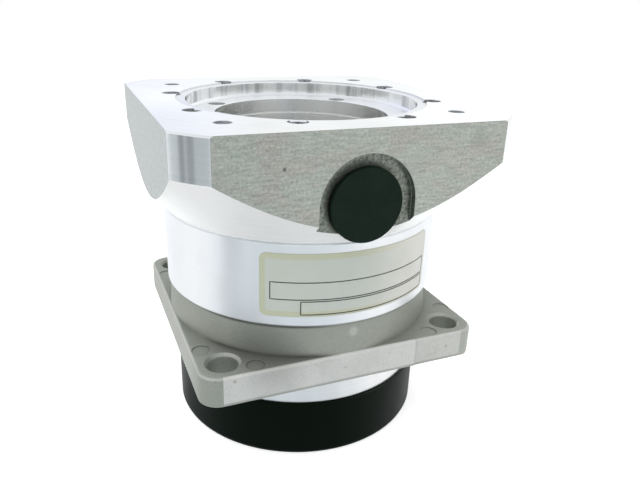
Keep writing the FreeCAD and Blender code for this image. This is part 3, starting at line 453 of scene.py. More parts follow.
def make_sawing(name):
    """Level streaks of a sawn face, short bright scratches and slow patches of tone."""
    inputs = [("Place", VECTOR, (0.0, 0.0, 0.0)), ("Size", FLOAT, 0.25)]
    outputs = [("Tone", FLOAT), ("Scratches", FLOAT), ("Patches", FLOAT)]
    graph, entry, leave = new_tree(SHADER_TREE, name, inputs, outputs)
    sized = graph.vector("DIVIDE", entry["Place"], entry["Size"])
    streaks = graph.noise(graph.vector("MULTIPLY", sized, (0.16, 0.16, 1.0)), 0.62, 2.0, 0.6)
    crumbs = graph.noise(sized, 0.42, 2.0, 0.65)
    tone = graph.ramp(crumbs, 0.55, graph.times(streaks, 0.45))
    graph.feed(leave["Tone"], graph.rescale(tone, 0.34, 0.66))
    near, draw = graph.cells(graph.vector("MULTIPLY", sized, (0.08, 0.08, 0.7)), 1.0)
    graph.feed(leave["Scratches"], graph.both(
        graph.rescale(near, 0.34, 0.12), graph.above(draw, 0.90)))
    slow = graph.noise(graph.vector("MULTIPLY", sized, (0.03, 0.03, 0.05)), 1.0, 3.0, 0.6)
    graph.feed(leave["Patches"], graph.rescale(slow, 0.35, 0.65, smooth=True))


def make_soil(name):
    """Slow patches where hands and oil have dulled a surface."""
    inputs = [("Place", VECTOR, (0.0, 0.0, 0.0)), ("Patch", FLOAT, 14.0)]
    graph, entry, leave = new_tree(SHADER_TREE, name, inputs, [("Mask", FLOAT)])
    slow = graph.noise(graph.vector("DIVIDE", entry["Place"], entry["Patch"]), 1.0, 4.0, 0.62)
    graph.feed(leave["Mask"], graph.rescale(slow, 0.42, 0.70, smooth=True))


def make_edges(name):
    """Broken edges: a rounded normal and a mask along the edges."""
    outputs = [("Mask", FLOAT), ("Normal", VECTOR)]
    graph, entry, leave = new_tree(SHADER_TREE, name, [("Width", FLOAT, 0.35)], outputs)
    width = graph.times(entry["Width"], MM)
    rounded = graph.give("ShaderNodeBevel", {"Radius": width}, samples=6)
    flat = graph.node("ShaderNodeNewGeometry").outputs["Normal"]
    agree = graph.measure("DOT_PRODUCT", rounded, flat)
    graph.feed(leave["Mask"], graph.rescale(agree, 0.985, 0.80))
    graph.feed(leave["Normal"], rounded)


def make_crevices(name):
    """Shade that gathers in corners and joints."""
    graph, entry, leave = new_tree(SHADER_TREE, name, [("Reach", FLOAT, 2.0)], [("Mask", FLOAT)])
    reach = graph.times(entry["Reach"], MM)
    open_sky = graph.node("ShaderNodeAmbientOcclusion", {"Distance": reach}, samples=8).outputs["AO"]
    graph.feed(leave["Mask"], graph.rescale(open_sky, 0.96, 0.50))


def make_room(name):
    """Tone of the room round the object: bright behind, dimmer on the camera's side."""
    outputs = [("Color", "NodeSocketColor")]
    graph, entry, leave = new_tree(SHADER_TREE, name, [("Place", VECTOR, (0.0, 0.0, 0.0))], outputs)
    place = entry["Place"]
    rise = graph.split(graph.vector("NORMALIZE", place))[2]
    dim_side = graph.rescale(graph.towards(place, DIM_SIDE), 0.30, 1.0, smooth=True)
    dim = graph.both(dim_side, graph.rescale(rise, 0.35, 0.10))
    cool_side = graph.rescale(graph.towards(place, COOL_SIDE), 0.85, 0.94, smooth=True)
    cool = graph.both(cool_side, graph.rescale(rise, 0.0, 0.2))
    steep = graph.rescale(graph.size(rise), 0.55, 0.95, smooth=True)
    tone = graph.layers(
        (1.06, 1.08, 1.08, 1.0),
        (dim, 1.0, (0.71, 0.78, 0.81), 1.0),
        (cool, 1.0, (0.90, 0.93, 1.04), 1.0),
        (steep, 1.0, (0.84, 0.86, 0.87), 1.0))
    level = graph.vector("NORMALIZE", graph.vector("MULTIPLY", place, (1.0, 1.0, 0.0)))
    streaks = graph.noise(graph.vector("MULTIPLY", level, (9.0, 9.0, 0.0)), 1.0, 2.0, 0.6)
    graph.feed(leave["Color"], graph.shade(tone, graph.rescale(streaks, 0.3, 0.7, 0.90, 1.08)))


EFFECTS = {
    "millimetres": make_millimetres,
    "turning": make_turning,
    "grain": make_grain,
    "sawing": make_sawing,
    "soil": make_soil,
    "edges": make_edges,
    "crevices": make_crevices,
    "room": make_room,
}


def effect_tree(name):
    """The shared effect of that name, made when it is first asked for."""
    if name not in bpy.data.node_groups:
        EFFECTS[name](name)
    return bpy.data.node_groups[name]


class Finish(Graph):
    """Nodes of one material, whose unchanging values sit on its shader."""

    def __init__(self, name, **constants):
        self.material = bpy.data.materials.new(name)
        self.material.use_nodes = True
        super().__init__(self.material.node_tree)
        self.shader(**constants)

    def shader(self, **values):
        """Set or join sockets of the shader and give the material."""
        sockets = self.tree.nodes["Principled BSDF"].inputs
        for key, value in values.items():
            self.feed(sockets[key.replace("_", " ").title().replace("Ior", "IOR")], value)
        return self.material


def dress(material, names):
    """Give nodes of the frame a finish."""
    for name in names:
        if name not in frame["nodes"]:
            raise RuntimeError(f"the frame has no node named {name}")
        for slot in frame["nodes"][name].material_slots:
            slot.material = material


def nodes_of(slot):
    """Names of the nodes that the record gives to a material slot."""
    names = [row["node"] for row in frame["record"]["subparts"] if row["material_slot"] == slot]
    if not names:
        raise RuntimeError(f"the record gives no node to the slot {slot}")
    return names


def lathe_sheen(graph):
    """Spread reflections across the rings that the lathe leaves."""
    graph.shader(tangent=graph.give("ShaderNodeTangent", direction_type="RADIAL", axis="Z"))


def turned_finish(metal):
    """Bright metal off the lathe, with fine rings, broken edges, handling soil and painted reflection bands
    on the side away from the camera.
    """
    graph = Finish("turned_aluminium", metallic=1.0, anisotropic=0.85, anisotropic_rotation=0.25)
    lathe_sheen(graph)
    place, across, depth, level, radius = graph.where()
    marks = graph.effect("turning", along=graph.plus(radius, level), pitch=metal.turning_pitch / MM)
    soil = graph.effect("soil", place=place, patch=16.0)
    edges = graph.effect("edges", width=metal.edge_width / MM)
    plain = graph.shade(rgba(metal.turned), graph.rescale(marks["Tone"], 0.3, 0.7, 0.985, 1.0))
    soil_and_reflections = graph.layers(plain, (soil["Mask"], 0.10, metal.turned, 0.82))
    # Painted reflection bands round the side away from the camera.
    azimuth = graph.math("ARCTAN2", depth, across)
    painted_reflection_bands = graph.rescale(graph.lines(graph.times(azimuth, 1.9), 2.0, 0.5), 0.36, 0.60, 0.66, 1.0)
    reflection_side = graph.rescale(graph.towards(place, FAR_SIDE), 0.0, 0.45, smooth=True)
    soil_and_reflections = graph.shade(soil_and_reflections, graph.blend(reflection_side, 1.0, painted_reflection_bands))
    worn = graph.ramp(soil["Mask"], 0.08, 0.30)
    return graph.shader(
        base_color=graph.layers(soil_and_reflections, (edges["Mask"], 0.3, (0.97, 0.97, 0.98), 1.0)),
        roughness=graph.ramp(marks["Tone"], 0.06, worn),
        normal=graph.bump(marks["Height"], 0.003, edges["Normal"]))


def adapter_finish(metal):
    """Motor adapter: grainy sides, milled pocket, faced top, bright turned rim, satin bore; painted shade in
    corners, in the bolt wells and beside the plug, painted reflection streaks on the recess wall.
    """
    graph = Finish("adapter_aluminium", anisotropic=0.9, anisotropic_rotation=0.25)
    lathe_sheen(graph)
    place, across, depth, level, radius = graph.where()
    edges = graph.effect("edges", width=metal.edge_width / MM)
    soil = graph.effect("soil", place=place, patch=18.0)
    off_middle = graph.size(across)
    front = graph.above(graph.size(depth), ADAPTER_SIDE - 0.04)
    flank = graph.above(off_middle, ADAPTER_SIDE - 0.04)
    outside = graph.unless(graph.either(front, flank))
    off_cone = graph.above(graph.size(graph.plus(graph.minus(radius, level), CONE_OFFSET)), 0.08)
    cone = graph.both(graph.unless(off_cone), graph.below(level, CONE_TOP))
    pocket = graph.both(
        outside, off_cone, graph.below(off_middle, POCKET_HALF),
        graph.below(depth, POCKET_FLOOR + 0.05), graph.below(level, ADAPTER_TOP - 0.1))
    top = graph.both(outside, graph.above(level, ADAPTER_TOP - 0.05))
    bore = graph.both(graph.below(radius, BORE_RADIUS), graph.below(level, RECESS_FLOOR - 0.2))
    grainy = graph.either(front, flank, pocket)
    bolt_wells = graph.both(
        graph.within(radius, *CASE_BOLT_RING), graph.within(level, WELL_FLOOR, ADAPTER_TOP - 0.6))
    screw_wells = graph.both(
        graph.within(radius, *PLATE_SCREW_RING), graph.within(level, WELL_FLOOR, RECESS_FLOOR - 0.1))
    wells = graph.both(graph.unless(grainy), graph.either(bolt_wells, screw_wells), off_cone)
    upward = graph.split(graph.node("ShaderNodeNewGeometry").outputs["Normal"])[2]
    upright_face = graph.below(upward, 0.5)
    in_recess = graph.both(graph.within(level, RECESS_FLOOR - 0.1, ADAPTER_TOP - 0.1), graph.unless(wells))
    recess = graph.both(graph.within(radius, *RECESS_WALL), in_recess, upright_face)
    recess_floor = graph.both(graph.within(radius, PLATE_SCREW_RING[0], RECESS_WALL[1]), in_recess)
    rim_level = graph.blend(graph.below(radius, RECESS_MIDDLE), ADAPTER_TOP, RECESS_FLOOR)
    # Painted shade down the upright walls of the bolt wells, deeper below the rim and stronger towards the
    # front.
    well_shade = graph.both(
        wells, upright_face, graph.rescale(graph.minus(rim_level, level), 2.4, 1.0, 0.2, 0.75),
        graph.rescale(depth, -20.0, 30.0, 1.0, 0.4))

    grain = graph.effect("grain", place=place, size=metal.sawn_grain / MM * 1.4)
    sawing = graph.effect("sawing", place=place, size=metal.sawn_grain / MM)
    marks = graph.effect("turning", along=graph.plus(radius, level), pitch=metal.turning_pitch / MM)

    bright = graph.mix(top, rgba(metal.turned), rgba(metal.faced))
    bright = graph.layers(bright, (bore, 1.0, metal.bored, 1.0), (cone, 1.0, metal.faced, 1.03))
    bright = graph.shade(bright, graph.rescale(marks["Tone"], 0.3, 0.7, 0.96, 1.0))
    # Painted reflection streaks round the recess wall.
    azimuth = graph.math("ARCTAN2", depth, across)
    streaks = graph.rescale(graph.lines(graph.times(azimuth, 5.0), 4.0, 0.65), 0.36, 0.52, 0.60, 1.03)
    bright = graph.mix(recess, bright, graph.shade(rgba(metal.faced), streaks))
    # Painted shade in the corners and joints of the open faces.
    open_faces = graph.unless(graph.either(grainy, wells, recess_floor))
    corner_shade = graph.both(graph.effect("crevices", reach=3.5)["Mask"], open_faces)
    bright = graph.layers(bright, (corner_shade, 0.18, metal.sawn, 0.25), (well_shade, 1.0, metal.pocket, 0.25))

    sawn = graph.mix(sawing["Patches"], rgba(metal.sawn), rgba(metal.sawn_warm))
    sawn = graph.layers(sawn, (flank, 1.0, metal.skimmed, 1.0))
    swing = graph.blend(flank, 0.62, 0.46)
    sawn = graph.shade(sawn, graph.ramp(graph.minus(sawing["Tone"], 0.5), swing, 1.0))
    sawn = graph.layers(
        sawn,
        (sawing["Scratches"], 0.35, metal.skimmed, 1.2),
        (graph.spot(place, DENT, 0.62, 0.35, 0.75, smooth=False), 1.0, metal.sawn, 0.18),
        (graph.spot(place, THUMB_MARK, 4.2, 0.5, 0.28), 1.0, metal.sawn, 0.55))
    milled = graph.mix(grain["Grain"], rgba(metal.pocket, 0.28), rgba(metal.pocket, 1.75))
    milled = graph.layers(
        milled,
        (grain["Specks"], 0.55, metal.skimmed, 1.0),
        # Painted shadow of the plug's head on the pocket floor, up and left of the plug.
        (graph.spot(place, PLUG_SHADOW, 12.1, 9.8, 0.85), 1.0, metal.pocket, 0.12))
    colour = graph.mix(grainy, bright, graph.mix(pocket, sawn, milled))
    colour = graph.layers(colour, (soil["Mask"], 0.07, metal.sawn, 0.8))
    rim = graph.mix(front, rgba(metal.faced), rgba(metal.sawn, 0.5))
    rim_share = graph.times(edges["Mask"], graph.blend(front, 0.18, 0.5))

    aslant = graph.node("ShaderNodeLayerWeight", {"Blend": 0.5}).outputs["Facing"]
    scatter = graph.blend(cone, 1.0, graph.rescale(aslant, 0.66, 0.86, 0.25, 0.95))
    scatter = graph.zones(scatter, (wells, 0.30), (recess, 0.75))
    sheen = graph.blend(graph.above(upward, 0.9), 0.13, 0.40)
    sheen = graph.zones(sheen, (top, 0.24), (cone, 0.40), (bore, 0.26), (wells, 0.50))
    sheen = graph.ramp(soil["Mask"], 0.02, sheen)
    matte = graph.blend(flank, graph.blend(pocket, 0.50, 0.32), 0.40)
    matte = graph.ramp(sawing["Tone"], 0.12, matte)
    coarse = graph.blend(pocket, sawing["Tone"], grain["Grain"])
    relief = graph.blend(grainy, graph.times(marks["Height"], 0.03), coarse)
    return graph.shader(
        base_color=graph.mix(rim_share, colour, rim),
        metallic=graph.blend(grainy, scatter, graph.blend(pocket, 0.80, 1.0)),
        roughness=graph.blend(grainy, sheen, matte),
        normal=graph.bump(relief, 0.05, edges["Normal"]))


def casting_finish(metal):
    """Output casing: blasted flange and boss, machined mounting face, pilot and bores; painted shade in its
    joints, under the parts above, on the boss, at the flange's left side and foot and on the nose, painted
    light on the right corner and a painted glint on left-facing edges.
    """
    graph = Finish("blasted_casting")
    place, across, depth, level, radius = graph.where()
    edges = graph.effect("edges", width=metal.edge_width / MM * 2.0)
    grain = graph.effect("grain", place=place, size=metal.cast_grain / MM)
    marks = graph.effect("turning", along=graph.plus(radius, level), pitch=metal.turning_pitch / MM)
    soil = graph.effect("soil", place=place, patch=11.0)
    machined = graph.either(graph.below(level, 0.03), graph.below(radius, MACHINED_RADIUS))
    sides = graph.size(across), graph.size(depth)
    skin = FLANGE_SIDE - 0.7
    outermost = graph.above(graph.math("MAXIMUM", *sides), skin)
    straight = graph.below(graph.math("MINIMUM", *sides), FLANGE_STRAIGHT)
    below_top = graph.below(level, FLANGE_TOP - 0.05)
    trimmed = graph.both(graph.unless(machined), below_top, outermost, straight)

    # Painted shadow in the joints and in the thin gap under the gear case's overhang, strongest on the
    # front-left side.
    joint_shade = graph.effect("crevices", reach=1.6)["Mask"]
    # Painted shade on the flange top under the wider parts above it.
    near_top = graph.within(level, FLANGE_TOP - 0.7, FLANGE_TOP + 0.3)
    overhang_shade = graph.both(graph.effect("crevices", reach=10.0)["Mask"], near_top)
    gap_shadow = graph.rescale(level, BOSS_TOP - 1.2, BOSS_TOP - 0.75, 0.0, 0.85)
    shade_side = graph.rescale(graph.towards(place, SHADE_SIDE), 0.86, 0.985, 0.25, 1.0, smooth=True)
    shaded_joint = graph.both(graph.either(graph.times(joint_shade, 0.85), gap_shadow), shade_side)
    normal = graph.node("ShaderNodeNewGeometry").outputs["Normal"]
    turned_left = graph.measure("DOT_PRODUCT", normal, (-0.75, -0.45, 0.0))
    upward = graph.split(normal)[2]
    glint = graph.both(graph.within(upward, 0.40, 0.86), graph.rescale(turned_left, -0.1, 0.5))
    # Painted shade: the flange's left side is darker, fading towards the front corner.
    shaded_left = graph.both(
        trimmed, graph.below(across, -skin), graph.rescale(depth, -26.0, -FLANGE_STRAIGHT, 0.62, 1.0))
    # Painted light on the flange's rounded right-front corner.
    lit_right_corner = graph.both(
        graph.above(across, FLANGE_STRAIGHT), graph.below(depth, -FLANGE_STRAIGHT), below_top,
        graph.rescale(depth, -44.6, -41.8, 0.3, 1.0), graph.unless(trimmed))
    near_side = graph.both(trimmed, graph.below(depth, -skin))
    past_seam = graph.both(near_side, graph.above(across, FLANGE_SEAM))
    # Painted shade along the lower edge of the flange's front side.
    foot_shade = graph.both(near_side, graph.rescale(level, 1.0, 0.5))
    seam = graph.both(near_side, graph.rescale(graph.size(graph.minus(across, FLANGE_SEAM)), 0.3, 0.1))
    specks = [graph.spot(place, speck, 0.7, 0.3, 0.4) for speck in CASTING_SPECKS]

    cast, trim = metal.cast, metal.trimmed
    plain = graph.mix(trimmed, rgba(cast), rgba(trim))
    plain = graph.shade(plain, graph.ramp(graph.minus(grain["Grain"], 0.5), 0.22, 1.0))
    plain = graph.layers(
        plain,
        (grain["Specks"], 0.10, trim, 1.3),
        (grain["Pits"], 0.35, cast, 0.35),
        (soil["Mask"], 0.16, cast, 0.72),
        (graph.both(edges["Mask"], graph.unless(joint_shade)), 0.3, trim, 1.1),
        (graph.both(overhang_shade, shade_side), 0.75, cast, 0.25),
        (shaded_joint, 1.0, cast, 0.18),
        (graph.spot(place, BOSS_SHADE, 16.0, 2.0, 0.52), 1.0, cast, 0.4),
        (shaded_left, 1.0, cast, 1.0),
        (lit_right_corner, 1.0, trim, 1.0),
        (past_seam, 0.22, cast, 1.0),
        (foot_shade, 0.6, cast, 0.8),
        (seam, 0.3, cast, 0.5),
        (glint, 0.36, trim, 1.1),
        (graph.spot(place, BOSS_SMUDGE, 2.0, 0.8, 0.4), 1.0, trim, 1.0),
        *((speck, 1.0, cast, 0.4) for speck in specks))
    # Painted shade: below the pilot's end the nose takes a darker copy of the pilot colour.
    bright = graph.mix(graph.below(level, PILOT_END), rgba(metal.pilot), rgba(metal.pilot, 0.72))
    bright = graph.shade(bright, graph.rescale(marks["Tone"], 0.3, 0.7, 0.97, 1.0))
    relief = graph.blend(machined, grain["Grain"], graph.times(marks["Height"], 0.1))
    return graph.shader(
        base_color=graph.mix(machined, plain, bright),
        metallic=graph.blend(machined, 0.55, 1.0),
        roughness=graph.blend(machined, graph.ramp(grain["Grain"], 0.12, 0.54), 0.26),
        normal=graph.bump(relief, 0.035, edges["Normal"]))


def steel_finish(name, colour, roughness, marks_along, relief):
    """Machined steel with tool marks round the axis or along it."""
    graph = Finish(name, metallic=1.0)
    place, _, _, level, radius = graph.where()
    if marks_along == "round":
        marks = graph.effect("turning", along=graph.plus(radius, level), pitch=STEEL_PITCH)
        height, tone = marks["Height"], marks["Tone"]
    else:
        drawn = graph.vector("MULTIPLY", place, (1.0 / STEEL_PITCH, 1.0 / STEEL_PITCH, 0.5))
        height = graph.noise(drawn, 1.0, 2.0, 0.6)
        tone = graph.noise(graph.vector("MULTIPLY", place, (0.8, 0.8, 0.2)), 1.0, 3.0, 0.6)
    soil = graph.effect("soil", place=place, patch=7.0)
    plain = graph.shade(rgba(colour), graph.rescale(tone, 0.3, 0.7, 0.9, 1.06))
    worn = graph.ramp(soil["Mask"], 0.10, roughness)
    return graph.shader(
        base_color=graph.layers(plain, (soil["Mask"], 0.22, colour, 0.6)),
        roughness=graph.ramp(tone, 0.06, worn),
        normal=graph.bump(height, relief))


def bronze_finish():
    """Sintered bronze: warm, slightly porous."""
    graph = Finish("sintered_bronze", metallic=1.0)
    grain = graph.effect("grain", place=graph.where()[0], size=0.18)
    warm = (0.60, 0.40, 0.19)
    colour = graph.mix(grain["Grain"], rgba(warm, 0.82), rgba(warm, 1.1))
    return graph.shader(
        base_color=graph.layers(colour, (grain["Pits"], 0.8, warm, 0.2)),
        roughness=graph.ramp(grain["Grain"], 0.15, 0.30),
        normal=graph.bump(grain["Grain"], 0.015))


def rubber_finish(name, colour, roughness, grain_size, patch):
    """Moulded rubber with a fine skin, dusty patches and rubbed edges."""
    graph = Finish(name, specular_ior_level=0.12)
    place = graph.where()[0]
    grain = graph.effect("grain", place=place, size=grain_size)
    soil = graph.effect("soil", place=place, patch=patch)
    edges = graph.effect("edges", width=0.5)
    plain = graph.mix(grain["Grain"], rgba(colour, 0.86), rgba(colour, 1.12))
    return graph.shader(
        base_color=graph.layers(
            plain,
            (soil["Mask"], 0.35, colour, 1.6),
            (grain["Specks"], 0.04, (0.10, 0.11, 0.10), 1.0),
            (edges["Mask"], 0.3, colour, 2.0)),
        roughness=graph.ramp(grain["Grain"], 0.10, roughness),
        normal=graph.bump(grain["Grain"], 0.02, edges["Normal"]))


def cap_finish(colour):
    """Satin black plastic with faint draw lines from its mould, and painted light on its top ledge."""
    graph = Finish("cap_plastic", specular_ior_level=0.05)
    place, across, _, level, _ = graph.where()
    streak = graph.noise(graph.vector("MULTIPLY", place, (2.2, 2.2, 0.12)), 1.0, 3.0, 0.55)
    skin = graph.noise(place, 2.6, 2.0, 0.5)
    soil = graph.effect("soil", place=place, patch=20.0)
    edges = graph.effect("edges", width=0.6)
    plain = graph.mix(graph.rescale(streak, 0.35, 0.65), rgba(colour, 0.88), rgba(colour, 1.1))
    # Painted light on the cap's top ledge, growing towards the right.
    lit_ledge = graph.both(graph.above(level, PILOT_END - 0.3), graph.rescale(across, 0.0, 40.0))
    return graph.shader(
        base_color=graph.layers(
            plain, (edges["Mask"], 0.3, colour, 2.2), (lit_ledge, 0.8, screen(84, 90, 86), 1.0)),
        roughness=graph.ramp(streak, 0.08, graph.ramp(soil["Mask"], 0.10, 0.34)),
        normal=graph.bump(skin, 0.012, edges["Normal"]))


def label_finish(soft):
    """Pale sticker with a yellower varnish ring along its rounded edge and a painted sheen towards its right
    end.
    """
    graph = Finish("label_paper", specular_ior_level=0.45, coat_weight=0.5, coat_roughness=0.2)
    place, across, depth, level, _ = graph.where()
    azimuth = graph.math("ARCTAN2", depth, across)
    run = graph.times(graph.minus(azimuth, LABEL_ANGLE), CASE_RADIUS)
    rise = graph.minus(level, (LABEL_LOW + LABEL_HIGH) / 2.0)
    out_run = graph.minus(graph.size(run), LABEL_HALF - LABEL_CORNER)
    out_rise = graph.minus(graph.size(rise), (LABEL_HIGH - LABEL_LOW) / 2.0 - LABEL_CORNER)
    past_corner = graph.join(graph.math("MAXIMUM", out_run, 0.0), graph.math("MAXIMUM", out_rise, 0.0))
    inside = graph.math("MINIMUM", graph.math("MAXIMUM", out_run, out_rise), 0.0)
    to_edge = graph.minus(LABEL_CORNER, graph.plus(graph.measure("LENGTH", past_corner), inside))
    width = soft.border_width / MM
    ring = graph.rescale(to_edge, width + 0.35, width - 0.35, smooth=True)
    fibre = graph.noise(graph.vector("MULTIPLY", place, (1.0, 1.0, 1.6)), 3.2, 4.0, 0.65)
    soil = graph.effect("soil", place=place, patch=9.0)
    plain = graph.mix(ring, rgba(soft.paper), rgba(soft.border))
    plain = graph.shade(plain, graph.rescale(fibre, 0.3, 0.7, 0.965, 1.02))
    return graph.shader(
        base_color=graph.layers(
            plain,
            # Painted sheen towards the label's right end.
            (graph.rescale(run, -6.0, 25.0, 0.0, 0.85, smooth=True), 1.0, soft.painted_sheen, 1.0),
            (soil["Mask"], 0.14, soft.border, 0.92),
            (graph.rescale(to_edge, 0.30, 0.05), 0.45, soft.border, 0.75)),
        roughness=graph.ramp(fibre, 0.12, 0.36),
        normal=graph.bump(fibre, 0.008))


def ink_finish(colour):
    """Printed line whose ink is slightly uneven."""
    graph = Finish("label_ink", specular_ior_level=0.4)
    uneven = graph.noise(graph.where()[0], 4.0, 3.0, 0.6)
    tone = graph.rescale(uneven, 0.3, 0.7)
    return graph.shader(
        base_color=graph.mix(tone, rgba(colour, 0.8), rgba(colour, 1.25)),
        roughness=graph.ramp(uneven, 0.15, 0.45))


def close_tree(graph, leave, geometry, finish):
    """End a tree in real geometry with its finish."""
    real = graph.give("GeometryNodeRealizeInstances", {"Geometry": geometry})
    dressed = graph.give("GeometryNodeSetMaterial", {"Geometry": real, "Material": finish})
    graph.feed(leave["Geometry"], dressed)
    return graph.tree


def grow(name, tree, values, body):
    """Run a tree, keep its result as a plain mesh and let it ride on a body."""
    piece = bpy.data.objects.new(name, bpy.data.meshes.new(name))
    bpy.context.scene.collection.objects.link(piece)
    modifier = piece.modifiers.new(name, "NODES")
    modifier.node_group = tree
    for item in tree.interface.items_tree:
        if item.item_type == "SOCKET" and item.in_out == "INPUT":
            modifier[item.identifier] = values[item.name]
    depsgraph = bpy.context.evaluated_depsgraph_get()
    made = bpy.data.meshes.new_from_object(piece.evaluated_get(depsgraph), depsgraph=depsgraph)
    if not made.polygons:
        raise RuntimeError(f"the tree of {name} made no faces")
    piece.modifiers.clear()
    piece.data = made
    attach(piece, body)


# Left and right end of each box along the label, and its low and high edge below the label's top.
RULED_BOXES = {
    "Model Box": (3.0 - LABEL_HALF, LABEL_HALF - 1.3, 14.0, 8.7),
    "Number Box": (11.8 - LABEL_HALF, LABEL_HALF - 1.3, 18.7, 14.6),
}
BOX_EDGES = ("Left", "Right", "Low", "High")


def rules_tree():
    """Ruled boxes bent round the gear case."""
    inputs = [(f"{box} {edge}", FLOAT, 0.0) for box in RULED_BOXES for edge in BOX_EDGES]
    inputs += [("Label Radius", FLOAT, 0.045), ("Middle Angle", FLOAT, 0.0), ("Rule Width", FLOAT, 0.0003),
               ("Rule Height", FLOAT, 0.00002), ("Ink", "NodeSocketMaterial", None)]
    graph, entry, leave = new_tree(GEOMETRY_TREE, "ruled_boxes", inputs, GEOMETRY_OUT)
    profile = graph.give("GeometryNodeCurvePrimitiveQuadrilateral", {
        "Width": entry["Rule Width"], "Height": entry["Rule Height"]})
    joined = graph.node("GeometryNodeJoinGeometry")
    for box in RULED_BOXES:
        left, right, low, high = (entry[f"{box} {edge}"] for edge in BOX_EDGES)
        outline = graph.give("GeometryNodeCurvePrimitiveQuadrilateral", {
            "Width": graph.minus(right, left), "Height": graph.minus(high, low)})
        middle = graph.join(
            graph.times(graph.plus(left, right), 0.5), graph.times(graph.plus(low, high), 0.5))
        placed = graph.give("GeometryNodeTransform", {"Geometry": outline, "Translation": middle})
        fine = graph.give("GeometryNodeSubdivideCurve", {"Curve": placed, "Cuts": 48})
        upright = graph.give("GeometryNodeSetCurveNormal", {"Curve": fine}, mode="Z_UP")
        line = graph.give("GeometryNodeCurveToMesh", {"Curve": upright, "Profile Curve": profile})
        graph.tree.links.new(line, joined.inputs[0])
    place = graph.split(graph.give("GeometryNodeInputPosition"))
    turn = graph.plus(entry["Middle Angle"], graph.math("DIVIDE", place[0], entry["Label Radius"]))
    radius = graph.plus(entry["Label Radius"], place[2])
    bent = graph.join(
        graph.times(radius, graph.math("COSINE", turn)),
        graph.times(radius, graph.math("SINE", turn)), place[1])
    wrapped = graph.give("GeometryNodeSetPosition", {"Geometry": joined.outputs[0], "Position": bent})
    return close_tree(graph, leave, wrapped, entry["Ink"])


def thread_tree():
    """Thread ridges in a ring of tapped holes."""
    inputs = [("Hole Radius", FLOAT, 0.0025), ("Pitch", FLOAT, 0.001), ("Turns", FLOAT, 10.0),
              ("Ridge", FLOAT, 0.0003), ("Circle Radius", FLOAT, 0.05), ("Holes", "NodeSocketInt", 4),
              ("First Angle", FLOAT, 0.0), ("Lowest Level", FLOAT, 0.0),
              ("Finish", "NodeSocketMaterial", None)]
    graph, entry, leave = new_tree(GEOMETRY_TREE, "tapped_threads", inputs, GEOMETRY_OUT)
    path = graph.give("GeometryNodeCurveSpiral", {
        "Resolution": 28, "Rotations": entry["Turns"], "Start Radius": entry["Hole Radius"],
        "End Radius": entry["Hole Radius"], "Height": graph.times(entry["Turns"], entry["Pitch"])})
    ridge = graph.give("GeometryNodeCurvePrimitiveCircle", {"Resolution": 4, "Radius": entry["Ridge"]})
    thread = graph.give("GeometryNodeCurveToMesh", {
        "Curve": path, "Profile Curve": ridge, "Fill Caps": True})
    ring = graph.give("GeometryNodeCurvePrimitiveCircle", {
        "Resolution": entry["Holes"], "Radius": entry["Circle Radius"]})
    placed = graph.give("GeometryNodeTransform", {
        "Geometry": ring, "Translation": graph.join(third=entry["Lowest Level"]),
        "Rotation": graph.join(third=entry["First Angle"])})
    centres = graph.give("GeometryNodeCurveToPoints", {"Curve": placed}, mode="EVALUATED")
    copies = graph.give("GeometryNodeInstanceOnPoints", {"Points": centres, "Instance": thread})
    return close_tree(graph, leave, copies, entry["Finish"])


class GEARHEAD_OT_metal_housing(bpy.types.Operator):
    """Finish the output casing, the gear case, the motor adapter and the input plate"""

    bl_idname = "gearhead.metal_housing"
    bl_label = "Metal Housing"
    bl_options = {"REGISTER", "UNDO"}

    def execute(self, context):
        metal = context.scene.gearhead_metal
        dress(casting_finish(metal), nodes_of("cast_aluminium"))
        dress(turned_finish(metal), nodes_of("machined_aluminium"))
        dress(adapter_finish(metal), ["motor_adapter"])
        return {"FINISHED"}


# For each material slot: name, colour and roughness of its finish, run and depth of its tool marks.
STEELS = {
    "gear_steel": ("ground_gear_steel", (0.46, 0.46, 0.48), 0.26, "lengthwise", 0.004),
    "bearing_steel": ("polished_bearing_steel", (0.66, 0.66, 0.68), 0.12, "round", 0.001),
    "carrier_steel": ("turned_carrier_steel", (0.56, 0.56, 0.58), 0.27, "round", 0.004),
    "black_oxide_steel": ("black_oxide", (0.05, 0.05, 0.055), 0.38, "lengthwise", 0.006),
    "zinc_steel": ("bright_zinc", (0.62, 0.62, 0.63), 0.28, "lengthwise", 0.003),
}


class GEARHEAD_OT_drive_train(bpy.types.Operator):
    """Finish the gears, carriers, bearings, bushes and screws"""

    bl_idname = "gearhead.drive_train"
    bl_label = "Drive Train"
    bl_options = {"REGISTER", "UNDO"}

    def execute(self, context):
        for slot, values in STEELS.items():
            dress(steel_finish(*values), nodes_of(slot))
        dress(bronze_finish(), nodes_of("bronze"))
        return {"FINISHED"}


class GEARHEAD_OT_plastic_and_rubber(bpy.types.Operator):
    """Finish the push-on cap, the access plug and the seals"""

    bl_idname = "gearhead.plastic_and_rubber"
    bl_label = "Plastic and Rubber"
    bl_options = {"REGISTER", "UNDO"}

    def execute(self, context):
        soft = context.scene.gearhead_soft
        dress(cap_finish(soft.cap), nodes_of("cap_plastic"))
        dress(rubber_finish("plug_rubber", soft.plug, 0.66, 0.30, 6.0), nodes_of("plug_rubber"))
        dress(rubber_finish("seal_rubber", soft.seal, 0.52, 0.15, 4.0), nodes_of("seal_rubber"))
        return {"FINISHED"}


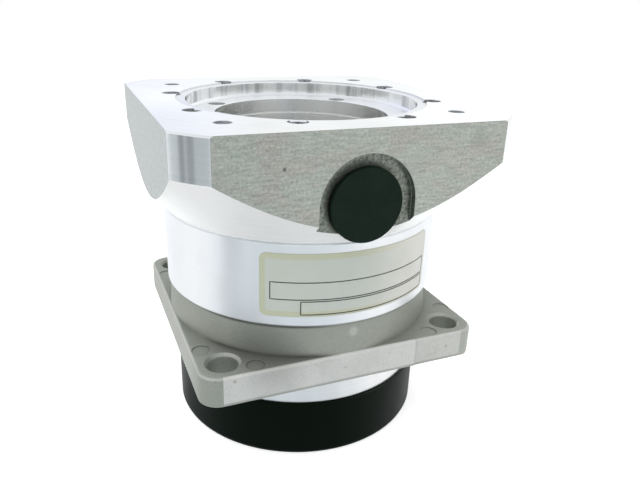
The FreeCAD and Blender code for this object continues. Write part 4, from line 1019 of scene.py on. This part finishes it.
class GEARHEAD_OT_rating_label(bpy.types.Operator):
    """Finish the rating label and rule its empty boxes"""

    bl_idname = "gearhead.rating_label"
    bl_label = "Rating Label"
    bl_options = {"REGISTER", "UNDO"}

    def execute(self, context):
        soft = context.scene.gearhead_soft
        dress(label_finish(soft), nodes_of("paper_label"))
        values = {
            "Label Radius": LABEL_FACE * MM, "Middle Angle": LABEL_ANGLE,
            "Rule Width": soft.rule_width, "Rule Height": soft.rule_height, "Ink": ink_finish(soft.ink)}
        for box, (left, right, low, high) in RULED_BOXES.items():
            levels = (left, right, LABEL_HIGH - low, LABEL_HIGH - high)
            values.update({f"{box} {edge}": level * MM for edge, level in zip(BOX_EDGES, levels)})
        grow("label_rules", rules_tree(), values, "housing")
        return {"FINISHED"}


class GEARHEAD_OT_tapped_threads(bpy.types.Operator):
    """Cut threads in the motor bolt holes and the output bolt holes"""

    bl_idname = "gearhead.tapped_threads"
    bl_label = "Tapped Threads"
    bl_options = {"REGISTER", "UNDO"}

    def execute(self, context):
        threads = context.scene.gearhead_threads
        metal = context.scene.gearhead_metal
        tree = thread_tree()
        dull = tuple(share * 0.8 for share in metal.turned)
        motor = {
            "Hole Radius": MOTOR_HOLE_RADIUS * MM, "Turns": float(threads.motor_turns),
            "Circle Radius": MOTOR_CIRCLE * MM, "Holes": 4, "First Angle": math.radians(45.0),
            "Lowest Level": (ADAPTER_TOP - THREAD_START) * MM - threads.motor_turns * threads.pitch,
            "Finish": steel_finish("tapped_aluminium", dull, 0.26, "round", 0.004)}
        output = {
            "Hole Radius": OUTPUT_HOLE_RADIUS * MM, "Turns": float(threads.output_turns),
            "Circle Radius": OUTPUT_CIRCLE * MM, "Holes": 6, "First Angle": 0.0,
            "Lowest Level": (OUTPUT_FACE + THREAD_START) * MM,
            "Finish": frame["nodes"]["output_flange"].material_slots[0].material}
        shared = {"Pitch": threads.pitch, "Ridge": threads.ridge}
        grow("motor_hole_threads", tree, {**shared, **motor}, "housing")
        grow("output_hole_threads", tree, {**shared, **output}, "output")
        return {"FINISHED"}


def bare_graph(block):
    """Emptied nodes of a material or of the surround."""
    block.use_nodes = True
    block.node_tree.nodes.clear()
    return Graph(block.node_tree)


def floor_finish(studio):
    """White floor that takes the object's shadow and cannot be seen from below."""
    material = bpy.data.materials.new("studio_floor")
    graph = bare_graph(material)
    path = graph.node("ShaderNodeLightPath").outputs
    mirrored = graph.either(path["Is Glossy Ray"], path["Is Transmission Ray"])
    room = graph.effect("room", place=graph.node("ShaderNodeTexCoord").outputs["Object"])
    matte = graph.give("ShaderNodeBsdfDiffuse", {"Color": (0.82, 0.82, 0.82, 1.0)})
    glow = graph.give("ShaderNodeEmission", {
        "Color": (1.0, 1.0, 1.0, 1.0),
        "Strength": graph.times(path["Is Camera Ray"], studio.glow)})
    white = graph.give("ShaderNodeAddShader", {0: matte, 1: glow})
    toned = graph.give("ShaderNodeEmission", {"Color": room["Color"], "Strength": 1.0})
    lit = graph.give("ShaderNodeMixShader", {0: mirrored, 1: white, 2: toned})
    clear = graph.give("ShaderNodeBsdfTransparent")
    under = graph.node("ShaderNodeNewGeometry").outputs["Backfacing"]
    shown = graph.give("ShaderNodeMixShader", {0: under, 1: lit, 2: clear})
    graph.node("ShaderNodeOutputMaterial", {"Surface": shown})
    return material


def card_finish(name, level):
    """Plain card that only reflections show."""
    material = bpy.data.materials.new(name)
    graph = bare_graph(material)
    colour = (level * 0.92, level, level * 1.02, 1.0)
    glow = graph.give("ShaderNodeEmission", {"Color": colour, "Strength": 1.0})
    graph.node("ShaderNodeOutputMaterial", {"Surface": glow})
    return material


def stage_sheet(name, corners, material):
    """A flat sheet of the studio."""
    mesh = bpy.data.meshes.new(name)
    mesh.from_pydata(corners, [], [tuple(range(len(corners)))])
    mesh.materials.append(material)
    sheet = bpy.data.objects.new(name, mesh)
    bpy.context.scene.collection.objects.link(sheet)
    return sheet


def lay_floor(studio):
    """A wide round floor under the cap."""
    reach = 3.0
    steps = 96
    level = FLOOR_LEVEL - 0.02 * MM
    turns = [2.0 * math.pi * step / steps for step in range(steps)]
    edge = [(reach * math.cos(turn), reach * math.sin(turn), level) for turn in turns]
    stage_sheet("studio_floor", edge, floor_finish(studio))


# Where each grey card starts and stops, in degrees seen from the adapter's near corner, and how bright it is.
CARDS = (
    (180.2, 185.0, 0.60),
    (185.0, 188.4, 0.30),
    (188.4, 190.2, 0.52),
    (190.2, 194.6, 0.34),
    (194.6, 203.0, 0.52),
)


def stand_cards():
    """Grey cards to the left, out of the picture, whose reflections band the bright metal."""
    corner = Vector((-0.046, -0.046, 0.0))
    reach = 0.20
    low, high = FLOOR_LEVEL, FLOOR_LEVEL + 0.16
    for number, (start, stop, level) in enumerate(CARDS, 1):
        ends = []
        for degrees in (start, stop):
            turn = math.radians(degrees)
            ends.append(corner + Vector((math.cos(turn), math.sin(turn), 0.0)) * reach)
        corners = [(end.x, end.y, low) for end in ends] + [(end.x, end.y, high) for end in reversed(ends)]
        card = stage_sheet(f"studio_card_{number}", corners, card_finish(f"studio_card_{number}", level))
        card.visible_camera = False
        card.visible_diffuse = False
        card.visible_shadow = False


# Each lamp's name, azimuth and elevation in degrees, distance and size in metres, and power in watts.
LAMPS = (
    ("key_lamp", 200.0, 60.0, 1.2, 0.8, 3.0),
    ("top_lamp", 100.0, 80.0, 1.3, 1.0, 6.0),
    ("fill_lamp", 300.0, 24.0, 1.5, 1.2, 2.4),
    ("low_lamp", 212.0, 7.0, 1.3, 0.5, 2.2),
)


def hang_lamp(name, azimuth, elevation, distance, size, power):
    """A soft square lamp aimed at the middle of the object."""
    lamp = bpy.data.lights.new(name, "AREA")
    lamp.size = size
    lamp.energy = power
    holder = bpy.data.objects.new(name, lamp)
    turn, rise = math.radians(azimuth), math.radians(elevation)
    aim = Vector((0.0, 0.0, 0.025))
    back = Vector((math.cos(turn) * math.cos(rise), math.sin(turn) * math.cos(rise), math.sin(rise)))
    holder.location = aim + back * distance
    holder.rotation_mode = "QUATERNION"
    holder.rotation_quaternion = (-back).to_track_quat("-Z", "Y")
    holder.visible_glossy = False
    bpy.context.scene.collection.objects.link(holder)


def light_surround(studio):
    """White surround for the camera and for reflections, plain light for matte surfaces."""
    world = bpy.data.worlds.new("studio_surround")
    bpy.context.scene.world = world
    graph = bare_graph(world)
    path = graph.node("ShaderNodeLightPath").outputs
    mirrored = graph.either(path["Is Glossy Ray"], path["Is Transmission Ray"])
    seen = graph.either(path["Is Camera Ray"], mirrored)
    strength = graph.blend(seen, studio.ambient, 1.0)
    room = graph.effect("room", place=graph.node("ShaderNodeTexCoord").outputs["Generated"])
    colour = graph.mix(mirrored, (1.0, 1.0, 1.0, 1.0), room["Color"])
    sky = graph.give("ShaderNodeBackground", {"Color": colour, "Strength": strength})
    graph.node("ShaderNodeOutputWorld", {"Surface": sky})


def aim_camera(studio):
    """The camera at the photograph's stand, heading, pitch and roll."""
    data = bpy.data.cameras.new("photograph_camera")
    data.sensor_fit = "HORIZONTAL"
    data.sensor_width = 36.0
    data.lens = studio.lens
    data.clip_start = 0.01
    data.clip_end = 20.0
    camera = bpy.data.objects.new("photograph_camera", data)
    turn, rise, roll = studio.heading, studio.pitch, studio.roll
    back = Vector((math.sin(turn) * math.cos(rise), -math.cos(turn) * math.cos(rise), math.sin(rise)))
    right = Vector((math.cos(turn), math.sin(turn), 0.0))
    up = right.cross(-back)
    rolled_right = right * math.cos(roll) + up * math.sin(roll)
    rolled_up = up * math.cos(roll) - right * math.sin(roll)
    turned = Matrix((rolled_right, rolled_up, back)).transposed().to_4x4()
    camera.matrix_world = Matrix.Translation(Vector(studio.stand)) @ turned
    bpy.context.scene.collection.objects.link(camera)
    bpy.context.scene.camera = camera


class GEARHEAD_OT_studio(bpy.types.Operator):
    """Set up the floor, the surround, the lamps and the camera"""

    bl_idname = "gearhead.studio"
    bl_label = "Studio"
    bl_options = {"REGISTER", "UNDO"}

    def execute(self, context):
        studio = context.scene.gearhead_studio
        context.scene.view_settings.view_transform = "Standard"
        lay_floor(studio)
        stand_cards()
        light_surround(studio)
        for lamp in LAMPS:
            hang_lamp(*lamp)
        aim_camera(studio)
        return {"FINISHED"}


STEPS = (
    GEARHEAD_OT_metal_housing,
    GEARHEAD_OT_drive_train,
    GEARHEAD_OT_plastic_and_rubber,
    GEARHEAD_OT_rating_label,
    GEARHEAD_OT_tapped_threads,
    GEARHEAD_OT_studio,
)
SETTINGS = {
    "gearhead_metal": GearheadMetal,
    "gearhead_soft": GearheadSoft,
    "gearhead_threads": GearheadThreads,
    "gearhead_studio": GearheadStudio,
}


class GEARHEAD_PT_panel(bpy.types.Panel):
    """Steps and settings of the gearhead"""

    bl_idname = "GEARHEAD_PT_panel"
    bl_label = "Planetary Gearhead"
    bl_space_type = "VIEW_3D"
    bl_region_type = "UI"
    bl_category = "Gearhead"

    def draw(self, context):
        column = self.layout.column(align=True)
        for step in STEPS:
            column.operator(step.bl_idname)
        for name, kind in SETTINGS.items():
            box = self.layout.box()
            box.label(text=kind.__doc__)
            for key in kind.__annotations__:
                box.prop(getattr(context.scene, name), key)


def register():
    """Register the settings, the steps and the panel."""
    for name, kind in SETTINGS.items():
        bpy.utils.register_class(kind)
        setattr(bpy.types.Scene, name, bpy.props.PointerProperty(type=kind))
    for kind in (*STEPS, GEARHEAD_PT_panel):
        bpy.utils.register_class(kind)


def unregister():
    """Take everything out again."""
    for kind in (GEARHEAD_PT_panel, *reversed(STEPS)):
        bpy.utils.unregister_class(kind)
    for name, kind in reversed(SETTINGS.items()):
        delattr(bpy.types.Scene, name)
        bpy.utils.unregister_class(kind)


def main():
    """Run every step in order."""
    register()
    for step in STEPS:
        group, action = step.bl_idname.split(".")
        getattr(getattr(bpy.ops, group), action)()


if __name__ == "__main__":
    main()
